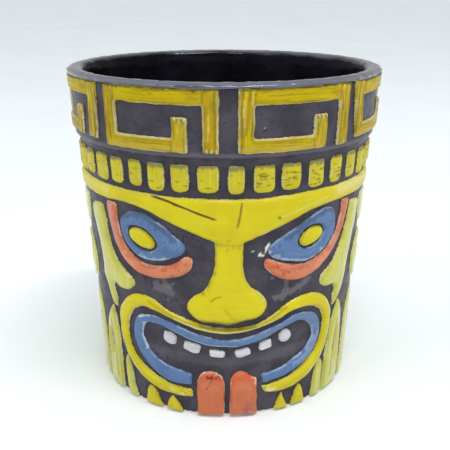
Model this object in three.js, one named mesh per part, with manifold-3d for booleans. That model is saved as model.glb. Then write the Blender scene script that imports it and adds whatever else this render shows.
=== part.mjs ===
// Tiki mug: a squat, straight-tapered slip-cast cup with a raised fret collar, a row of beads and a
// carved mask face. Millimetres, +Z up, origin at the centre of the foot, the face looks along -Y.
//
// The outside is laid out unrolled: a point is [degrees round the cup, height], with 0 degrees at the
// front (-Y) and degrees growing towards +X. Each raised field is drawn as an outline in that sheet,
// given its thickness, and then rolled onto the tapered wall.

import * as THREE from 'three';
import { mergeVertices } from 'three/addons/utils/BufferGeometryUtils.js';
import Module from 'manifold-3d';

// ---- Driving dimensions ----

const HEIGHT = 110.7;
const RIM_RADIUS = 53; // crest of the relief at the rim
const COLLAR_RADIUS = 52.1; // crest of the relief at the collar's lower edge
const COLLAR_Z = 89.4; // lower edge of the collar
const WALL_TOP_RADIUS = 50.7; // crest of the relief just under the collar
const FOOT_RADIUS = 45; // crest of the relief at the table
const RELIEF = 1.3; // how far a raised field stands off the wall
const SEAT = 0.3; // clearance between a raised field and the wall under it
const ROUND_SIDES = 48; // facets round the turned pieces

const MOUTH_RADIUS = 47.2; // glazed inside, at the rim
const WELL_RADIUS = 38.6; // glazed inside, at the floor
const FLOOR_Z = 7; // top of the glazed floor
const WELL_FILLET = 6; // rounding between the floor and the inside wall
const GLAZE = 0.6; // thickness of the glaze liner
const LIP_Z = 109.5; // where the clay of the rim ends under its glaze

const FOOT_EDGE = 1.2; // chamfer round the foot
const FOOT_RING_INNER = 34; // inside radius of the ring that the cup stands on
const FOOT_RECESS = 1.4; // depth of the hollow inside that ring

const ARC = 0.85; // millimetres of unrolled sheet to a degree
const OUTLINE_STEP = 3.6; // spacing of points along a curved outline
const ROLL_STEP = 8.5; // a wide field is creased upright at every such step, so that it hugs the wall
const BASE_Z = 0.6; // lowest edge of any raised field

const CORNER = 1; // third value of an outline point where the outline turns sharply

// ---- Finishes ----

const paint = (color, roughness) => new THREE.MeshStandardMaterial({ color, roughness, metalness: 0 });
const BISQUE_WASH = () => paint(0x4a4750, 0.5);
const BLACK_GLAZE = () => paint(0x0c0c10, 0.08);
const YELLOW = () => paint(0xc8b814, 0.4);
const OCHRE = () => paint(0xbba212, 0.42);
const PALE_YELLOW = () => paint(0xcfcb7a, 0.42);
const BLUE = () => paint(0x6482aa, 0.4);
const CORAL = () => paint(0xd08260, 0.4);
const TONGUE_RED = () => paint(0xc26a48, 0.4);
const TOOTH_WHITE = () => paint(0xd8d8d8, 0.5);

// ---- The turned wall ----

function wallCrest(z) {
  return FOOT_RADIUS + ((WALL_TOP_RADIUS - FOOT_RADIUS) * z) / COLLAR_Z;
}

function collarCrest(z) {
  return COLLAR_RADIUS + ((RIM_RADIUS - COLLAR_RADIUS) * (z - COLLAR_Z)) / (HEIGHT - COLLAR_Z);
}

function groundRadius(z) {
  return (z > COLLAR_Z ? collarCrest(z) : wallCrest(z)) - RELIEF;
}

function insideRadius(z) {
  return WELL_RADIUS + ((MOUTH_RADIUS - WELL_RADIUS) * (z - FLOOR_Z)) / (HEIGHT - FLOOR_Z);
}

// A quarter round in a lathe profile, from angle a to angle b in degrees, in a few steps.
function quarterRound(centreR, centreZ, radius, a, b, steps = 2) {
  const points = [];
  for (let i = 0; i <= steps; i++) {
    const t = THREE.MathUtils.degToRad(a + ((b - a) * i) / steps);
    points.push([centreR + radius * Math.cos(t), centreZ + radius * Math.sin(t)]);
  }
  return points;
}

function turned(profile) {
  const points = profile.map(([r, z]) => new THREE.Vector2(r, z));
  const geometry = new THREE.LatheGeometry(points, ROUND_SIDES);
  geometry.rotateX(Math.PI / 2);
  return geometry;
}

// The clay cup: recessed foot, tapered wall, collar standing proud of it, and the plain hollow
// that the liner of glaze fills.
function mugBodyGeometry() {
  const skin = GLAZE + SEAT;
  const collarFoot = groundRadius(COLLAR_Z + 1);
  const neck = groundRadius(COLLAR_Z - 1.4);
  return turned([
    [0, FOOT_RECESS],
    [FOOT_RING_INNER - FOOT_RECESS, FOOT_RECESS],
    [FOOT_RING_INNER, 0],
    [groundRadius(0) - FOOT_EDGE, 0],
    [groundRadius(0), FOOT_EDGE],
    [neck, COLLAR_Z - 1.4],
    [collarFoot - 0.5, COLLAR_Z - 0.4],
    [collarFoot, COLLAR_Z + 0.8],
    [groundRadius(LIP_Z - 1), LIP_Z - 1],
    [groundRadius(LIP_Z) - 0.8, LIP_Z],
    [insideRadius(LIP_Z) + skin + 0.8, LIP_Z],
    [insideRadius(LIP_Z) + skin, LIP_Z - 1],
    ...quarterRound(
      insideRadius(FLOOR_Z + WELL_FILLET) - WELL_FILLET + skin,
      FLOOR_Z + WELL_FILLET,
      WELL_FILLET,
      0,
      -90
    ).map(([r, z]) => [r, z - skin * (1 - (z - FLOOR_Z) / WELL_FILLET)]),
    [0, FLOOR_Z - skin],
  ]);
}

// The liner of black glaze: over the floor, up the inside and across the rim to its outer edge.
function linerGeometry() {
  const bend = quarterRound(
    insideRadius(FLOOR_Z + WELL_FILLET) - WELL_FILLET,
    FLOOR_Z + WELL_FILLET,
    WELL_FILLET,
    0,
    -90
  );
  const backOfBend = bend.map(([r, z]) => [r + GLAZE, z - GLAZE * (1 - (z - FLOOR_Z) / WELL_FILLET)]).reverse();
  const lipUnder = LIP_Z + SEAT;
  return turned([
    [0, FLOOR_Z - GLAZE],
    ...backOfBend,
    [insideRadius(LIP_Z) + GLAZE, LIP_Z - 1],
    [insideRadius(LIP_Z) + GLAZE + 0.6, lipUnder],
    [RIM_RADIUS - 0.1, lipUnder],
    [RIM_RADIUS, HEIGHT - 0.7],
    [RIM_RADIUS - 0.3, HEIGHT - 0.45],
    [RIM_RADIUS - 1.8, HEIGHT - 0.1],
    [insideRadius(HEIGHT) + 2.2, HEIGHT],
    [insideRadius(HEIGHT) + 0.6, HEIGHT - 0.6],
    [insideRadius(HEIGHT - 1.6), HEIGHT - 1.6],
    ...bend,
    [0, FLOOR_Z],
  ]);
}

// ---- Outlines on the unrolled sheet ----

const toSheet = ([degrees, z]) => new THREE.Vector3(degrees * ARC, z, 0);

// A smooth stretch of outline through its points, without the last one.
function smoothStretch(points, closed) {
  if (points.length === 2) return [toSheet(points[0])];
  const curve = new THREE.CatmullRomCurve3(points.map(toSheet), closed, 'centripetal');
  const steps = Math.max(points.length, Math.ceil(curve.getLength() / OUTLINE_STEP));
  return curve.getSpacedPoints(steps).slice(0, -1);
}

// A closed outline through [degrees, z] points: smooth everywhere, but for points marked CORNER.
function outline(points) {
  const corners = points.map((p, i) => (p[2] === CORNER ? i : -1)).filter((i) => i >= 0);
  if (corners.length === 0) return smoothStretch(points, true);
  return corners.flatMap((start, k) => {
    const end = corners[(k + 1) % corners.length];
    const count = ((end - start - 1 + points.length) % points.length) + 2;
    const stretch = Array.from({ length: count }, (_, i) => points[(start + i) % points.length]);
    return smoothStretch(stretch, false);
  });
}

function anticlockwise(points) {
  const flat = points.map((p) => new THREE.Vector2(p.x, p.y));
  return THREE.ShapeUtils.isClockWise(flat) ? flat.reverse() : flat;
}

// Points of an oval: semi-axes in millimetres, tilted by a number of degrees.
function oval(degrees, z, long, short, tilt = 0) {
  const points = [];
  const turn = THREE.MathUtils.degToRad(tilt);
  for (let i = 0; i < 8; i++) {
    const t = (i * Math.PI) / 4;
    const a = long * Math.cos(t);
    const b = short * Math.sin(t);
    const across = a * Math.cos(turn) - b * Math.sin(turn);
    const up = a * Math.sin(turn) + b * Math.cos(turn);
    points.push([degrees + across / ARC, z + up]);
  }
  return points;
}

const flipped = (points) => points.map(([degrees, z, ...mark]) => [-degrees, z, ...mark]);

// ---- Raised fields ----

// The point where the edge from a to b crosses the upright x = cut, the same from either end.
function crossing(a, b, cut) {
  const [low, high] = a.x < b.x ? [a, b] : [b, a];
  return low.clone().lerp(high, (cut - low.x) / (high.x - low.x));
}

// The part of a polygon on one side of the upright x = cut.
function keepSide(polygon, cut, side) {
  const kept = [];
  polygon.forEach((point, i) => {
    const next = polygon[(i + 1) % polygon.length];
    const here = side * (point.x - cut);
    const there = side * (next.x - cut);
    if (here >= 0) kept.push(point);
    if (here * there < 0) kept.push(crossing(point, next, cut));
  });
  return kept;
}

// One triangle of a slab, split along evenly spaced uprights.
function splitUpright(triangle) {
  const xs = triangle.map((point) => point.x);
  const first = Math.floor(Math.min(...xs) / ROLL_STEP);
  const last = Math.ceil(Math.max(...xs) / ROLL_STEP);
  const pieces = [];
  for (let k = first; k < Math.max(last, first + 1); k++) {
    const polygon = keepSide(keepSide(triangle, k * ROLL_STEP, 1), (k + 1) * ROLL_STEP, -1);
    for (let i = 2; i < polygon.length; i++) pieces.push([polygon[0], polygon[i - 1], polygon[i]]);
  }
  return pieces;
}

// Creases a slab upright at every ROLL_STEP, if it is wider than that.
function creased(slab) {
  slab.computeBoundingBox();
  if (slab.boundingBox.max.x - slab.boundingBox.min.x < ROLL_STEP) return slab;
  const position = slab.attributes.position;
  const points = [];
  for (let i = 0; i < position.count; i += 3) {
    const triangle = [0, 1, 2].map((k) => new THREE.Vector3().fromBufferAttribute(position, i + k));
    points.push(...splitUpright(triangle).flat());
  }
  return new THREE.BufferGeometry().setFromPoints(points);
}

// Rolls a sheet of thickness 1 onto the wall: its back stands SEAT off the wall and its front
// reaches the height of the relief, which may vary from point to point.
function roll(geometry, height) {
  const position = geometry.attributes.position;
  for (let i = 0; i < position.count; i++) {
    const degrees = position.getX(i) / ARC;
    const z = position.getY(i);
    const thickness = height(degrees, z) - SEAT;
    const radius = groundRadius(z) + SEAT + thickness * position.getZ(i);
    const angle = THREE.MathUtils.degToRad(degrees);
    position.setXYZ(i, radius * Math.sin(angle), -radius * Math.cos(angle), z);
  }
  return geometry;
}

// One raised field, from the points of its outline and of any slits through it.
function raised(points, { slits = [], height = () => RELIEF } = {}) {
  const shape = new THREE.Shape(anticlockwise(outline(points)));
  shape.holes = slits.map((slit) => new THREE.Path(anticlockwise(outline(slit))));
  const slab = new THREE.ExtrudeGeometry(shape, { depth: 1, bevelEnabled: false });
  slab.deleteAttribute('normal');
  slab.deleteAttribute('uv');
  return mergeVertices(roll(creased(slab), height), 1e-4);
}

// Joins overlapping closed geometries into one body.
const wasm = await Module();
wasm.setup();

function joined(geometries) {
  const solids = geometries.map(
    (geometry) =>
      new wasm.Manifold(
        new wasm.Mesh({
          numProp: 3,
          vertProperties: Float32Array.from(geometry.attributes.position.array),
          triVerts: Uint32Array.from(geometry.index.array),
        })
      )
  );
  const mesh = solids.reduce((whole, solid) => whole.add(solid)).getMesh();
  const geometry = new THREE.BufferGeometry();
  geometry.setAttribute('position', new THREE.BufferAttribute(mesh.vertProperties, mesh.numProp));
  geometry.setIndex(new THREE.BufferAttribute(mesh.triVerts, 1));
  return geometry;
}

// ---- Fret on the collar ----

// Left edge of each key in degrees, how far its foot leans to the right, and how much higher it ends.
const KEYS = [
  [-88.4, -1.2, 1], [-43, 0, 0], [4.4, 0, 0], [48.4, 2.8, 1],
  [93.6, 0, 0], [138.2, 0, 0], [183, 0, 0], [227.4, 0, 0],
];
const KEY_WIDTH = 41.2;
const KEY_BAR = 5.1; // width of an upright bar, in degrees
const KEY_FOOT = 90.5;
const KEY_FOOT_TOP = 94.7;
const KEY_HEAD_UNDER = 104.3;
const KEY_HEAD = 109.3;
const HOOK_RIGHT = 31.1; // the bottom bar ends here, in degrees from the left edge
const HOOK_TOP = 100.7;

// A square spiral: left bar, head, hanging right bar, and a foot that hooks up inside.
function fretKey([start, lean, rise]) {
  const corner = (offset, z) => [start + offset + (lean * (KEY_HEAD - z)) / (KEY_HEAD - KEY_FOOT), z, CORNER];
  const foot = KEY_FOOT + rise;
  const footTop = KEY_FOOT_TOP + rise;
  return raised([
    corner(0, foot),
    corner(HOOK_RIGHT, foot),
    corner(HOOK_RIGHT, HOOK_TOP),
    corner(HOOK_RIGHT - KEY_BAR, HOOK_TOP),
    corner(HOOK_RIGHT - KEY_BAR, footTop),
    corner(KEY_BAR, footTop),
    corner(KEY_BAR, KEY_HEAD_UNDER),
    corner(KEY_WIDTH - KEY_BAR, KEY_HEAD_UNDER),
    corner(KEY_WIDTH - KEY_BAR, foot),
    corner(KEY_WIDTH, foot),
    corner(KEY_WIDTH, KEY_HEAD),
    corner(0, KEY_HEAD),
  ]);
}

// ---- Beads ----

const BEAD_FOOT = 78.3;
const BEAD_HEAD = 86.6;
const BEAD_BEVEL = 1.4; // cut corners of a bead
const THREAD_LOW = 81.6; // the thread of clay that joins the beads
const THREAD_HIGH = 83.4;
const THREAD_HEIGHT = 0.9;
const THREAD_BITE = 1; // degrees by which the thread runs into each bead
// Centre and width in degrees of the beads over the face, which are uneven; the rest are even.
const FACE_BEADS = [
  [-67.5, 5.6], [-60, 5.7], [-50.6, 6.8], [-41.8, 5.9], [-33, 5.2], [-24.3, 6.2], [-15.3, 6.1],
  [-5.5, 7], [4.1, 5.3], [13.8, 7.2], [23.8, 7.2], [34.2, 6.5], [43.9, 5.9], [53.5, 5.7], [62.5, 5.6],
];
const BACK_BEADS = 24;
const BACK_BEAD_WIDTH = 6.2;

function allBeads() {
  const first = FACE_BEADS[FACE_BEADS.length - 1][0];
  const pitch = (FACE_BEADS[0][0] + 360 - first) / (BACK_BEADS + 1);
  const back = Array.from({ length: BACK_BEADS }, (_, i) => [first + pitch * (i + 1), BACK_BEAD_WIDTH]);
  return [...FACE_BEADS, ...back];
}

function bead([centre, width]) {
  const half = width / 2;
  const shoulder = half - BEAD_BEVEL / ARC;
  return raised([
    [centre - half, BEAD_FOOT + BEAD_BEVEL, CORNER], [centre - shoulder, BEAD_FOOT, CORNER],
    [centre + shoulder, BEAD_FOOT, CORNER], [centre + half, BEAD_FOOT + BEAD_BEVEL, CORNER],
    [centre + half, BEAD_HEAD, CORNER], [centre - half, BEAD_HEAD, CORNER],
  ]);
}

function threadBetween([centre, width], [nextCentre, nextWidth]) {
  const from = centre + width / 2 - THREAD_BITE;
  const to = nextCentre - nextWidth / 2 + THREAD_BITE;
  const corners = [[from, THREAD_LOW], [to, THREAD_LOW], [to, THREAD_HIGH], [from, THREAD_HIGH]];
  return raised(corners.map(([degrees, z]) => [degrees, z, CORNER]), { height: () => THREAD_HEIGHT });
}

// One string of beads round the cup, open between its last bead and its first.
function beadString() {
  const beads = allBeads();
  const threads = beads.slice(1).map((next, i) => threadBetween(beads[i], next));
  return joined([...beads.map(bead), ...threads]);
}

// ---- Face ----

const BROW_TOP = 77;
const BROW_UNDER = 71.8;
const BROW_END = 94; // the face's brow ends here and the band behind it goes on
const NOSE_TIP_Z = 39;
const NOSE_ROOT_Z = 66;
const NOSE_LIFT = 1.6; // extra height of the nose at its tip
const NOSE_HALF = 17; // half width in degrees over which the nose rises

// The nose swells out of the brow towards its tip.
function noseHeight(degrees, z) {
  const down = THREE.MathUtils.smoothstep(NOSE_ROOT_Z - z, 0, NOSE_ROOT_Z - NOSE_TIP_Z);
  const across = Math.max(0, 1 - ((degrees - 1.2) / NOSE_HALF) ** 2);
  return RELIEF + NOSE_LIFT * down * across;
}

// Brow band over both eyes, dipping in a V to the nose, which flares to its wings.
const BROW_AND_NOSE = [
  [-BROW_END, BROW_TOP, CORNER], [-30, 76.5, CORNER], [-4, 76.3, CORNER], [12, 76.2, CORNER],
  [34, 77, CORNER], [BROW_END, BROW_TOP, CORNER], [BROW_END, BROW_UNDER, CORNER], [43, BROW_UNDER, CORNER],
  [33, 70.6], [23, 67.6], [6.8, 62.4, CORNER], [6.8, 57.5], [7.4, 51.8], [9.8, 47.5], [13.8, 45],
  [16.5, 41.4], [15.4, 38], [12, 36.2], [7.3, 35.5], [1.7, 34.5], [-4, 35.1], [-9.4, 35.5],
  [-13.2, 37.8], [-14.6, 40.3], [-12.4, 43.5], [-8.1, 46.1], [-5.2, 49.8], [-3.6, 54.5],
  [-3.2, 62.7, CORNER], [-20, 68.2], [-30, 71.3], [-42, 72.2], [-50, BROW_UNDER, CORNER],
  [-BROW_END, BROW_UNDER, CORNER],
];

const EYE_LEFT = [
  [-42.6, 64], [-41.4, 67.6], [-37.2, 69.6], [-30, 69.7], [-24, 67.4], [-18, 63.7], [-14.5, 60.6],
  [-15.6, 58.2], [-20.7, 56], [-27, 54.5], [-34, 55], [-39.5, 57.9],
];
const EYE_RIGHT = [
  [16.4, 58.8], [17.6, 61.3], [23, 63.9], [29.5, 66.7], [35.5, 69.3], [40.5, 70.5], [45, 69.3],
  [46.6, 65], [46.2, 60.8], [42.6, 57.4], [37.5, 54.7], [32, 53.8], [24.5, 55], [18.6, 56.5],
];
const PUPIL_LEFT = { degrees: -32.5, z: 61.4, long: 5.2, short: 2.9, tilt: -18 };
const PUPIL_RIGHT = { degrees: 34.4, z: 62, long: 4.7, short: 2.8, tilt: 17 };
const PUPIL_GROOVE = 0.8; // width of the groove cut round a pupil

const LID_LEFT = [
  [-50, 71.2, CORNER], [-49.2, 65], [-46.6, 57.6], [-41.5, 51.7], [-35, 49], [-27, 48.7], [-19.5, 49.8],
  [-13.5, 52.5], [-11.7, 56], [-13.6, 57.4], [-18, 55], [-24, 53.2], [-31, 52.9], [-37, 54.4],
  [-42, 58.4], [-44.2, 64.5], [-44.4, 71.2, CORNER],
];
const LID_RIGHT = [
  [50.8, 71.2, CORNER], [50.6, 66.5], [48.8, 62], [46, 58.3], [41.7, 55.4], [36.5, 53.7], [31, 53.1],
  [25, 53.9], [19.5, 55.4], [16, 56.6], [14.7, 55], [17.3, 52], [22, 49.3], [29, 47.9], [36, 48.8],
  [43, 51.8], [48.2, 56], [52.3, 61.5], [54.5, 67.5], [55.2, 71.2, CORNER],
];

// Each cheek is a leaf whose lower tip runs down as a stem to the ring round the mouth.
const CHEEK_LEFT = [
  [-62.8, 67.6], [-58.5, 68.8], [-54, 69, CORNER], [-52.8, 64], [-51.8, 58.5], [-49, 53], [-45, 49.4],
  [-40.5, 47], [-38.2, 45], [-39.8, 42.8], [-43.2, 41.3], [-47.2, 41.4], [-51, 42.4], [-52.2, 40.1],
  [-50.5, 37.2, CORNER], [-51.6, 32.9, CORNER], [-54.6, 35.6], [-57, 40.6], [-59, 43.6], [-58.8, 50],
  [-59.8, 56], [-61.6, 61],
];
const CHEEK_RIGHT = [
  [57.4, 69.8, CORNER], [56.6, 65], [54.9, 59.5], [51.8, 54], [46.9, 49.3], [42.7, 47.3], [41.3, 45.5],
  [42.3, 43.6], [46, 41.9], [50.5, 41.6], [52, 39.8], [51.2, 37.6, CORNER], [51.9, 33, CORNER],
  [55, 36], [57.6, 39], [59.2, 42.5], [60.8, 49], [62.4, 56], [64.2, 62], [65.6, 68.6, CORNER],
];

// Ring round the mouth, open at the bottom where the tongue hangs out.
const MOUTH_RING = [
  [-13.2, 7, CORNER], [-22, 6.7], [-30, 7.5], [-38.5, 10.7], [-45, 15.3], [-48.8, 21.5], [-49.4, 27],
  [-48.2, 33.8], [-43.6, 38.4], [-37.5, 41.1], [-30.5, 41.2], [-22.4, 37.8], [-14.5, 35.5], [-6, 33.9],
  [3, 33.2], [12, 34], [18.5, 36.2], [25, 39.7], [31, 41.5], [39.2, 41.2], [46.1, 38], [49.9, 33],
  [50.6, 26.5], [48.8, 19.2], [44.2, 14.2], [38, 10.3], [31, 8.2], [24, 7.5], [17.5, 8.1, CORNER],
  [15.7, 10.7, CORNER], [23, 11.5], [29.5, 12.7], [36.5, 15.9], [42.7, 19.9], [45.6, 25.7], [44.8, 31.9],
  [40.6, 35.9], [33.8, 37.4], [27, 36.6], [19, 34], [10, 32], [0, 31.2], [-9.8, 32.2], [-21, 35.1],
  [-29.4, 37.2], [-34.8, 37.4], [-39.8, 35], [-43.1, 30.7], [-44.5, 24.5], [-42.5, 18.8],
  [-35.5, 14.2], [-25, 10.9], [-13.8, 9.6, CORNER],
];

const LIP = [
  [-14, 11.5, CORNER], [-24, 11.7], [-31, 14.3], [-37, 19], [-40.2, 24.5], [-39.9, 30], [-37.5, 33.2],
  [-31, 34.9], [-23, 34.1], [-10, 30.5], [0, 28.9], [9.6, 29.7], [21, 32.8], [28.8, 35.1], [34.8, 35.2],
  [41, 32.8], [43.7, 27], [41.8, 21.3], [36.5, 16.8], [27, 13.6], [16.5, 11.9, CORNER],
  [15.2, 15.3, CORNER], [21.5, 16], [29.2, 18.4], [35.8, 21.5], [39.4, 25.2], [37.8, 29.8], [31.9, 32.9],
  [25, 31.6], [13.5, 27.8], [3.8, 26.5], [-5, 26.8], [-13.6, 28.4], [-21.3, 31], [-29.4, 32.3],
  [-33.9, 31.6], [-35.5, 27], [-33.2, 22.3], [-27.8, 18.6], [-21.3, 16.9], [-13.4, 15.5, CORNER],
];

const TEETH = [
  [[-25, 30.2], [-21.5, 30], [-19.5, 28.9], [-20.3, 25.9], [-23, 25.8], [-25.4, 27.2]],
  [[-16.1, 27.8], [-9.4, 26.7], [-10.2, 23.7], [-12.8, 23.6], [-16.9, 25.1]],
  [[-6.1, 25.3], [-2.8, 25.3], [0.3, 24.7], [0.3, 22.8], [-1.3, 22.4], [-5.9, 22.8]],
  [[4, 25.1], [9.4, 26], [10.4, 25.4], [10.9, 23.5], [7.1, 22.5], [4.8, 22.5]],
  [[14.4, 27.2], [19, 28.5], [19.3, 26.8], [19.7, 25.2], [14.7, 24.2], [14, 25.6]],
  oval(25.3, 28.4, 2.4, 2.2),
];

const TONGUE_LIFT = 0.4;
const TONGUE_LEFT = [
  [-11.6, BASE_Z, CORNER], [0, BASE_Z, CORNER], [-0.4, 14.4], [-2, 16.3], [-6.4, 17.2], [-9.4, 16.3],
  [-11, 13.8],
];
const TONGUE_RIGHT = [
  [2.2, BASE_Z, CORNER], [14.3, BASE_Z, CORNER], [13.6, 14, CORNER], [11, 15.1], [8.6, 16.9],
  [5.6, 17.1], [3.4, 15.9], [2.7, 13.4],
];

// ---- Sides and foot ----

const SPIKES = [
  [[-36.8, BASE_Z, CORNER], [-35.4, 6.1], [-34, 7.8, CORNER], [-31, 6], [-29.4, 2.8], [-27.4, BASE_Z, CORNER]],
  [[-26, BASE_Z, CORNER], [-24.9, 4], [-22.8, 6.1, CORNER], [-20.4, 4.2], [-17.8, BASE_Z, CORNER]],
  [[21.8, BASE_Z, CORNER], [23.6, 4.4], [25.4, 7.1, CORNER], [26.4, 4.6], [29, BASE_Z, CORNER]],
  [[30.2, BASE_Z, CORNER], [32.6, 5.8], [34.2, 8.2, CORNER], [36, 6.4], [38.2, BASE_Z, CORNER]],
];

const LEAF_LEFT = [
  [-55, 33, CORNER], [-53, 28], [-52, 22], [-52.2, 12], [-53, BASE_Z, CORNER], [-64.2, BASE_Z, CORNER],
  [-64.4, 12], [-62.6, 21.6], [-59.6, 28],
];
const LEAF_LEFT_SLIT = oval(-58.6, 18, 5.4, 0.8, 84);
const LEAF_RIGHT = [
  [56.4, 34.8, CORNER], [53.8, 29.6], [51.8, 23], [50.4, 14], [49.8, BASE_Z, CORNER], [64, BASE_Z, CORNER],
  [63.8, 12], [62.8, 20], [60.6, 28.5], [58.6, 32.4],
];
const LEAF_RIGHT_SLIT = oval(57.5, 17.6, 6.8, 0.9, 92);
const REED_LEFT = [
  [-47.6, 16, CORNER], [-45.2, 12.4], [-44.4, 8], [-43.4, 4], [-41.8, BASE_Z, CORNER],
  [-48.2, BASE_Z, CORNER], [-48.9, 8], [-48.5, 13],
];
const REED_RIGHT = [
  [46.6, 14.8, CORNER], [44, 11.6], [42.9, 8], [42.2, BASE_Z, CORNER], [48.4, BASE_Z, CORNER],
  [48.3, 8], [47.9, 12.8],
];

const EAR_CENTRE = 76; // degrees from the front
const EAR_Z = 46.5;
const EAR_LONG = 9;
const EAR_SHORT = 8;
const EAR_GROOVE = 0.7; // width of the ring cut into the ear
const EAR_LIFT = 0.3;

// Temple leaf between the cheek and the back, over the ear.
const TEMPLE = [
  [67.6, 70, CORNER], [68.4, 64], [71, 60], [77, 57.8], [84, 58], [88.4, 62], [89, 70, CORNER],
];

const LOCK_TIP = 0.86; // share of a lock's height where it starts to close to its tip

// A lock of hair: an upright leaf with a pointed tip.
function lock(centre, half, top) {
  return [
    [centre - half, BASE_Z, CORNER], [centre + half, BASE_Z, CORNER], [centre + half, top * 0.5],
    [centre + half * 0.82, top * LOCK_TIP], [centre, top, CORNER],
    [centre - half * 0.82, top * LOCK_TIP], [centre - half, top * 0.5],
  ];
}

const SHORT_LOCKS = [72.4, 86.8]; // under each ear
const SHORT_LOCK_HALF = 5.4;
const SHORT_LOCK_TOP = 34;
const BACK_FROM = 91;
const BACK_LOCKS = 6;
const BACK_LOCK_HALF = 7;
const BACK_LOCK_TOP = 69;
const BACK_REED_HALF = 2.8;
const BACK_REED_TOP = 50;
const BACK_PITCH = (360 - 2 * BACK_FROM) / BACK_LOCKS;

// ---- Assembly ----

const mug = new THREE.Group();

function add(name, geometry, material) {
  const mesh = new THREE.Mesh(geometry, material);
  mesh.name = name;
  mug.add(mesh);
}

function addCup() {
  add('mug_body', mugBodyGeometry(), BISQUE_WASH());
  add('glaze_liner', linerGeometry(), BLACK_GLAZE());
}

function addCollar() {
  KEYS.forEach((key, i) => add(`fret_key_${i + 1}`, fretKey(key), OCHRE()));
  add('bead_string', beadString(), YELLOW());
}

function addEye(side, eye, pupil) {
  const { degrees, z, long, short, tilt } = pupil;
  const groove = oval(degrees, z, long + PUPIL_GROOVE, short + PUPIL_GROOVE, tilt);
  add(`eye_${side}`, raised(eye, { slits: [groove] }), BLUE());
  add(`pupil_${side}`, raised(oval(degrees, z, long, short, tilt)), YELLOW());
}

function addFace() {
  add('brow_and_nose', raised(BROW_AND_NOSE, { height: noseHeight }), YELLOW());
  addEye('left', EYE_LEFT, PUPIL_LEFT);
  addEye('right', EYE_RIGHT, PUPIL_RIGHT);
  add('lower_lid_left', raised(LID_LEFT), CORAL());
  add('lower_lid_right', raised(LID_RIGHT), CORAL());
  add('cheek_left', raised(CHEEK_LEFT), PALE_YELLOW());
  add('cheek_right', raised(CHEEK_RIGHT), PALE_YELLOW());
  add('mouth_ring', raised(MOUTH_RING), YELLOW());
  add('lip', raised(LIP), BLUE());
  TEETH.forEach((tooth, i) => {
    const corners = i === TEETH.length - 1 ? tooth : tooth.map(([degrees, z]) => [degrees, z, CORNER]);
    add(`tooth_${i + 1}`, raised(corners, { height: () => RELIEF - 0.3 }), TOOTH_WHITE());
  });
  const tongueHeight = () => RELIEF + TONGUE_LIFT;
  add('tongue_left', raised(TONGUE_LEFT, { height: tongueHeight }), TONGUE_RED());
  add('tongue_right', raised(TONGUE_RIGHT, { height: tongueHeight }), TONGUE_RED());
}

function addFoot() {
  SPIKES.forEach((spike, i) => add(`spike_${i + 1}`, raised(spike), YELLOW()));
  add('leaf_left', raised(LEAF_LEFT, { slits: [LEAF_LEFT_SLIT] }), PALE_YELLOW());
  add('leaf_right', raised(LEAF_RIGHT, { slits: [LEAF_RIGHT_SLIT] }), PALE_YELLOW());
  add('reed_left', raised(REED_LEFT), PALE_YELLOW());
  add('reed_right', raised(REED_RIGHT), PALE_YELLOW());
}

function addSides() {
  const earHeight = () => RELIEF + EAR_LIFT;
  const groove = oval(EAR_CENTRE, EAR_Z, EAR_LONG * 0.55, EAR_SHORT * 0.42, 90);
  const lobe = oval(EAR_CENTRE, EAR_Z, EAR_LONG * 0.55 - EAR_GROOVE, EAR_SHORT * 0.42 - EAR_GROOVE, 90);
  const ear = oval(EAR_CENTRE, EAR_Z, EAR_LONG, EAR_SHORT, 90);
  for (const [side, mirror] of [['left', flipped], ['right', (points) => points]]) {
    add(`temple_${side}`, raised(mirror(TEMPLE)), PALE_YELLOW());
    add(`ear_${side}`, raised(mirror(ear), { slits: [mirror(groove)], height: earHeight }), PALE_YELLOW());
    add(`ear_lobe_${side}`, raised(mirror(lobe), { height: earHeight }), PALE_YELLOW());
    SHORT_LOCKS.forEach((centre, i) => {
      const shape = mirror(lock(centre, SHORT_LOCK_HALF, SHORT_LOCK_TOP));
      add(`short_lock_${side}_${i + 1}`, raised(shape), PALE_YELLOW());
    });
  }
}

function addBack() {
  const end = 360 - BROW_END;
  const gap = SEAT / ARC;
  add(
    'brow_back',
    raised([
      [BROW_END + gap, BROW_UNDER, CORNER], [end - gap, BROW_UNDER, CORNER],
      [end - gap, BROW_TOP, CORNER], [BROW_END + gap, BROW_TOP, CORNER],
    ]),
    YELLOW()
  );
  for (let i = 0; i < BACK_LOCKS; i++) {
    const centre = BACK_FROM + BACK_PITCH * (i + 0.5);
    add(`back_lock_${i + 1}`, raised(lock(centre, BACK_LOCK_HALF, BACK_LOCK_TOP)), PALE_YELLOW());
  }
  for (let i = 1; i < BACK_LOCKS; i++) {
    const centre = BACK_FROM + BACK_PITCH * i;
    add(`back_reed_${i}`, raised(lock(centre, BACK_REED_HALF, BACK_REED_TOP)), PALE_YELLOW());
  }
}

addCup();
addCollar();
addFace();
addFoot();
addSides();
addBack();

export default mug;
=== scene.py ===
"""Tiki mug: a squat ceramic cup with a fret collar, a row of beads and a carved mask face.

The outside is laid out unrolled. A point is (degrees round the cup, height in millimetres), with
0 degrees at the front and degrees growing to the right. Each raised field is cut out of that
sheet, given its rounded edge, wrapped on the tapered wall and painted in enamel over dark stain.
"""

from __future__ import annotations

import logging
import math
from dataclasses import dataclass
from enum import Enum
from typing import Callable, Iterable, Sequence

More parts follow.
